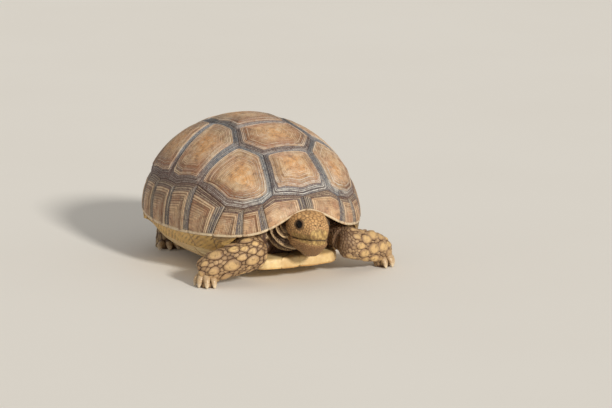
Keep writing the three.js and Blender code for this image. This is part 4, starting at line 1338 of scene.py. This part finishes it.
def scale_coat(name, surface, region, size, lie, around, along, island, material, rng,
               height, gap, stretch=1.0, lap=0.1, uneven=0.1, shade=None, small=None, rise=LEVEL_RISE):
    """Scales over a region of the skin: each a low pillow that meets its neighbours and laps the next one.

    around and along place each scale's patch on the coat's own part of its map, which starts at island.
    """
    index = np.nonzero(region)[0]
    points, normals = surface.points[index], surface.normals[index]
    size, lie = size[index], lie[index]
    lie = unit(lie - (lie * normals).sum(1)[:, None] * normals)
    size = size * np.exp(np.clip(rng.normal(0, uneven, len(size)), -2 * uneven, uneven))
    sites, width = sown(points, size, lie, stretch, rng, None if small is None else small[index])
    at, up, tip = points[sites], normals[sites], lie[sites]
    side = np.cross(up, tip)
    verts, faces, rims, centres, tones, shades, uvs = [], [], [], [], [], [], []
    start = 0
    for i in range(len(sites)):
        away = at - at[i]
        distance = np.linalg.norm(away, axis=1)
        near = np.nonzero((distance < 2.2 * width[i] * stretch) & (distance > 0))[0]
        flat = np.stack([away[near] @ tip[i], away[near] @ side[i]], -1)
        flat *= (distance[near] / np.maximum(np.linalg.norm(flat, axis=1), 1e-6))[:, None]
        flat[:, 0] /= stretch
        count = 20 if width[i] > WIDE else 14 if width[i] > MIDDLING else 9
        profile = PILLOW if width[i] > MIDDLING else PEBBLE
        turn = np.arange(count) * 2 * np.pi / count
        way = np.stack([np.cos(turn), np.sin(turn)], -1)
        facing = way @ flat.T
        power = (flat ** 2).sum(1) + (width[i] / 2) ** 2 - (width[near] / 2) ** 2
        with np.errstate(divide="ignore", invalid="ignore"):
            reach = np.where(facing > 1e-3, power / (2 * facing), np.inf)
        reach = np.minimum(reach.min(1) if len(near) else np.full(count, np.inf), 0.72 * width[i])
        reach = np.maximum(reach - gap / 2, 0.12 * width[i])
        reach = (np.roll(reach, 1) + 3 * reach + np.roll(reach, -1)) / 5
        reach = reach * (1 + lap * np.maximum(way[:, 0], 0) ** (6 if width[i] > WIDE else 2))
        out = (reach * way[:, 0] * stretch)[:, None] * tip[i] + (reach * way[:, 1])[:, None] * side[i]
        tall = height * width[i] * rng.uniform(0.8, 1.2) + 0.12
        slope = rise if width[i] > WIDE else min(rise, LEVEL_RISE)
        lean = 0.9 * slope * tall * tip[i]
        rows = [at[i] + out * share + lean * max(level, 0) for share, level in profile] + [at[i][None] + lean]
        tilt = slope * way[:, 0]
        lifts = [level * tall * (1 + tilt * share * (level > 0)) for share, level in profile] + [[tall]]
        verts.append(surface.settled(np.concatenate(rows), np.concatenate(lifts)))
        ring = start + np.arange(len(profile) * count).reshape(len(profile), count)
        for a, b in zip(ring, ring[1:]):
            faces += np.stack([a, np.roll(a, -1), np.roll(b, -1), b], -1).tolist()
        top = start + len(profile) * count
        faces += [(int(ring[-1][k]), int(ring[-1][(k + 1) % count]), top) for k in range(count)]
        faces.append(tuple(int(k) for k in ring[0][::-1]))
        start = top + 1
        rims.append(np.concatenate([np.full(count, share) for share, _ in profile] + [[0.0]]))
        centres.append(np.full(len(rims[-1]), min(1, width[i] / 9)))
        tones.append(np.full(len(rims[-1]), rng.uniform(0, 1)))
        shades.append(np.full(len(rims[-1]), 0.0 if shade is None else shade[index[sites[i]]]))
        root = np.array([island[0] + 0.2 * around[index[sites[i]]], island[1] + 0.2 * along[index[sites[i]]]])
        disc = np.concatenate([way * share for share, _ in profile] + [[[0, 0]]])
        uvs.append(root + PATCH * disc)
    points = np.concatenate(verts)
    points[:, 2] = np.maximum(points[:, 2], OVER_FLOOR)
    values = {"edge": np.concatenate(rims), "big": np.concatenate(centres), "tone": np.concatenate(tones),
              "shade": np.concatenate(shades)}
    piece = mesh_piece(name, points, faces, material, values, crease_angle=75)
    layer = piece.data.uv_layers.new(name="OFBake")
    corner = np.empty(len(piece.data.loops), int)
    piece.data.loops.foreach_get("vertex_index", corner)
    layer.data.foreach_set("uv", np.concatenate(uvs)[corner].ravel())
    return piece


def scale_finish(name, heart, rim, groove, dust, grains=0.0):
    """Horny scales: a worn yellow middle, greyer towards the rim, and painted shade in the grooves between.
    """
    f = Finish(name, 0.55)
    fine = f.noise(700, 4, 0.7)
    broad = f.noise(170, 4, 0.65)
    edge = f.plus(f.value("edge"), f.times(f.minus(broad, 0.5), 0.9))
    colour = f.blend(f.between(edge, 0.4, 0.9), heart, rim)
    colour = f.blend(f.times(f.value("tone"), 0.7), colour, rim)
    colour = f.blend(f.between(fine, 0.44, 0.68, 0.0, 0.55), colour, dust)
    # Small scales run from their tone in the middle to the groove colour at their edge, a painted shade.
    small = f.blend(f.value("tone"), dust, f.blend(f.value("edge"), rim, groove))
    colour = f.blend(f.between(f.value("big"), 0.34, 0.55, grains, 0.0), colour, small)
    colour = f.blend(f.between(f.noise(260, 4, 0.7), 0.5, 0.66, 0.0, 0.5), colour, groove)
    # Painted shade: the outer edge of each scale is darkened towards the groove colour.
    colour = f.blend(f.between(f.value("edge"), 0.88, 1.0, 0.0, 0.9), colour, groove)
    colour = f.blend(f.value("shade"), colour, groove)
    f.colour(colour)
    f.rough(f.between(fine, 0.3, 0.7, 0.45, 0.7))
    f.relief(f.plus(f.times(broad, 1.2), fine), 0.3, 0.9)
    return f.material


def limb_scales(surface):
    """Scales of the legs and the tail."""
    rng = np.random.default_rng(71)
    arm_horn = scale_finish("arm_scales", paint(228, 190, 128), paint(158, 124, 88), paint(84, 58, 38),
                            paint(182, 148, 110), grains=0.8)
    dull_horn = scale_finish("leg_scales", paint(190, 160, 108), paint(138, 112, 84), paint(56, 38, 27),
                             paint(166, 140, 108), grains=0.3)
    points, normals = surface.points, surface.normals
    x, y, z = points.T
    made = []
    for k, (word, side) in enumerate((("left", 1), ("right", -1))):
        arm = reached(forearm, word)
        far, along, way, around = near_path(points, arm, side)
        hand_far, _, hand_way, _ = near_path(points, reached(palm, word), side)
        front = smooth(normals @ unit(np.array([0.1 * side, -0.8, 0.5])), -0.35, 0.45)
        on_hand = (hand_far < 9.5) & (z < 9)
        fine_skin = smooth(-along, -0.16, -0.04) if word == "left" else smooth(-along, -0.04, 0)
        size = curve([0, 0.2, 0.5, 0.75, 1], [5.2, 6.8, 8.6, 7.4, 5], along)
        size = mix(3.4, size, front * (1 - fine_skin))
        size = np.where(on_hand, 3.4, size)
        size = np.where(far > 15.5, 2.6, size)
        small = np.where(size > 4.5, mix(2.6, 3.2, along), size)
        small = mix(small, 1.9, fine_skin)
        size = mix(size, 1.9, fine_skin)
        lie = np.where(on_hand[:, None], hand_way, way)
        lie = mix(lie, np.array([0, 0, -1.0]), fine_skin[:, None])
        region = (x * side > 30) & (y < -66) & (z > 1.2) & ((far < 18) | on_hand | (y < -74)) & (z < 48)
        coat = scale_coat(f"arm_scales_{word}", surface, region, size, lie, around, along,
                          (0.02 + 0.25 * k, 0.02), arm_horn, rng, height=0.17, gap=0.25, stretch=1.25,
                          lap=0.4, uneven=0.24, shade=0.6 * fine_skin, small=small, rise=0.75)
        made.append(coat)
        far, along, way, around = near_path(points, hind_foot, side)
        region = (x * side > 22) & (y > 56) & (z > 1.2) & (z < 44)
        size = mix(3.0, 5.2, smooth(np.abs(normals[:, 2]), 0.8, 0.3) * smooth(z, 24, 10))
        coat = scale_coat(f"leg_scales_{word}", surface, region, size, way, around, along,
                          (0.02 + 0.25 * k, 0.3), dull_horn, rng, height=0.12, gap=0.35, stretch=1.1)
        made.append(coat)
    far, along, way, around = near_path(points, tail)
    region = (np.abs(x) < 12) & (y > 80) & (z > 14) & (z < 46)
    size = mix(3.4, 2.0, along)
    made.append(scale_coat("tail_scales", surface, region, size, way, around, along, (0.52, 0.02), dull_horn,
                           rng, height=0.12, gap=0.25, stretch=1.25, lap=0.2))
    return made


def skin_value(skin, name):
    numbers = np.empty(len(skin.data.vertices), np.float32)
    skin.data.attributes[name].data.foreach_get("value", numbers)
    return numbers.astype(float)


def head_scales(skin, surface):
    """Flat little shields on the head, largest on the crown, and fine grains on the neck's loose skin."""
    rng = np.random.default_rng(83)
    face, lid, mouth, beak, shaded_hollow = (skin_value(skin, n) for n in ("face", "lid", "mouth", "beak", "shaded_hollow"))
    x, y, z = head_place(surface.points)
    away = np.stack([0.3 * np.sign(x), np.full(len(x), 1.0), 0 * x], -1)
    angle = np.arctan2(x, z - 47) / (2 * np.pi) + 0.5
    along = np.clip((y + 136) / 60, 0, 1)
    crown = smooth(z, 54, 59)
    size = mix(2.1, mix(3.0, 4.4, bump(y + 121, 9)), crown)
    size = np.where(z < 42, 1.9, size)
    region = (face > 0.6) & (lid < 0.05) & (mouth < 0.12) & (beak < 0.35) & (z > 20)
    shields = scale_finish("head_shields", paint(226, 180, 120), paint(188, 138, 84), paint(94, 60, 34),
                           paint(204, 164, 110))
    shade = mix(0.45, 0.6, smooth(-z, -37, -32)) * skin_value(skin, "under_head_shade")
    head = scale_coat("head_scales", surface, region, size, away, angle, along, (0.52, 0.3), shields, rng,
                      height=0.05, gap=0.12, lap=0.02, uneven=0.14, shade=shade)
    crest = skin_value(skin, "crest")
    region = (face < 0.6) & (y < -82) & (np.abs(x) < 27) & (z > 25) & (z < 58)
    region &= (shaded_hollow < 0.75) & (crest < 0.5)
    grains = scale_finish("neck_grains", paint(238, 206, 156), paint(206, 170, 124), paint(64, 38, 26),
                          paint(216, 182, 138))
    shade = np.clip(0.66 + 0.3 * shaded_hollow - 1.2 * crest, 0, 0.92)
    neck = scale_coat("neck_scales", surface, region, np.full(len(x), 1.6), away, angle, along, (0.77, 0.02),
                      grains, rng, height=0.06, gap=0.12, uneven=0.15, shade=shade)
    return [head, neck]


# ---------------------------------------------------------------- camera, light and floor

VIEW_AZIMUTH, VIEW_ELEVATION = math.radians(26.4), math.radians(11.46)
VIEW_DISTANCE, LENS = 2600, 173.9
LOOK_HEIGHT = 60
FRAME_SIDE, FRAME_DROP = 49.1, -11.6  # the view's middle lies this far beside and below the shell's
SUN_STRENGTH, SUN_SPREAD, SUN_COLOUR = 2.65, math.radians(7), (1.0, 0.97, 0.92)
SUN_WAY = (-0.09, 0.9, -0.42)
SKY_STRENGTH, SKY_COLOUR = 0.42, (1.0, 0.98, 0.95, 1)
FLOOR_SIDE = 30  # in metres


def camera_and_light():
    away = np.array([-math.sin(VIEW_AZIMUTH) * math.cos(VIEW_ELEVATION),
                     -math.cos(VIEW_AZIMUTH) * math.cos(VIEW_ELEVATION), math.sin(VIEW_ELEVATION)])
    side = np.array([math.cos(VIEW_AZIMUTH), -math.sin(VIEW_AZIMUTH), 0])
    up = np.cross(away, side)
    target = np.array([0, 0, LOOK_HEIGHT])
    eye_at = target + away * VIEW_DISTANCE
    aim = target + side * FRAME_SIDE + up * FRAME_DROP
    data = bpy.data.cameras.new("camera")
    data.lens, data.sensor_width = LENS, 36
    camera = bpy.data.objects.new("camera", data)
    bpy.context.scene.collection.objects.link(camera)
    camera.location = metres(eye_at)
    camera.rotation_mode = "QUATERNION"
    camera.rotation_quaternion = Vector(aim - eye_at).to_track_quat("-Z", "Y")
    bpy.context.scene.camera = camera
    bpy.context.scene.view_settings.view_transform = "Standard"

    sun = bpy.data.lights.new("key", "SUN")
    sun.energy, sun.angle, sun.color = SUN_STRENGTH, SUN_SPREAD, SUN_COLOUR
    key = bpy.data.objects.new("key", sun)
    bpy.context.scene.collection.objects.link(key)
    key.rotation_mode = "QUATERNION"
    key.rotation_quaternion = Vector(SUN_WAY).to_track_quat("-Z", "Y")
    world = bpy.data.worlds.new("studio")
    bpy.context.scene.world = world
    world.use_nodes = True
    back = world.node_tree.nodes["Background"]
    back.inputs["Color"].default_value = SKY_COLOUR
    back.inputs["Strength"].default_value = SKY_STRENGTH


def floor():
    bpy.ops.object.select_all(action="DESELECT")
    bpy.ops.mesh.primitive_plane_add(size=FLOOR_SIDE, location=(0, 0, 0))
    ground = bpy.context.object
    ground.name = "floor"
    f = Finish("floor_card", 0.9)
    f.colour(f.blend(f.noise(3, 2), paint(244, 240, 232), paint(240, 235, 226)))
    ground.data.materials.append(f.material)


camera_and_light()
floor()
skin = build_skin()
surface = Surface(skin)
dark_eye = eye_finish()
eye_pieces = eyes()
for piece in eye_pieces:
    piece.data.materials.append(dark_eye)
pieces = shell_plates() + edge_plates() + belly_plates() + [skin] + eye_pieces
pieces += all_claws() + limb_scales(surface) + head_scales(skin, surface)
for piece in pieces:
    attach(piece, "root")
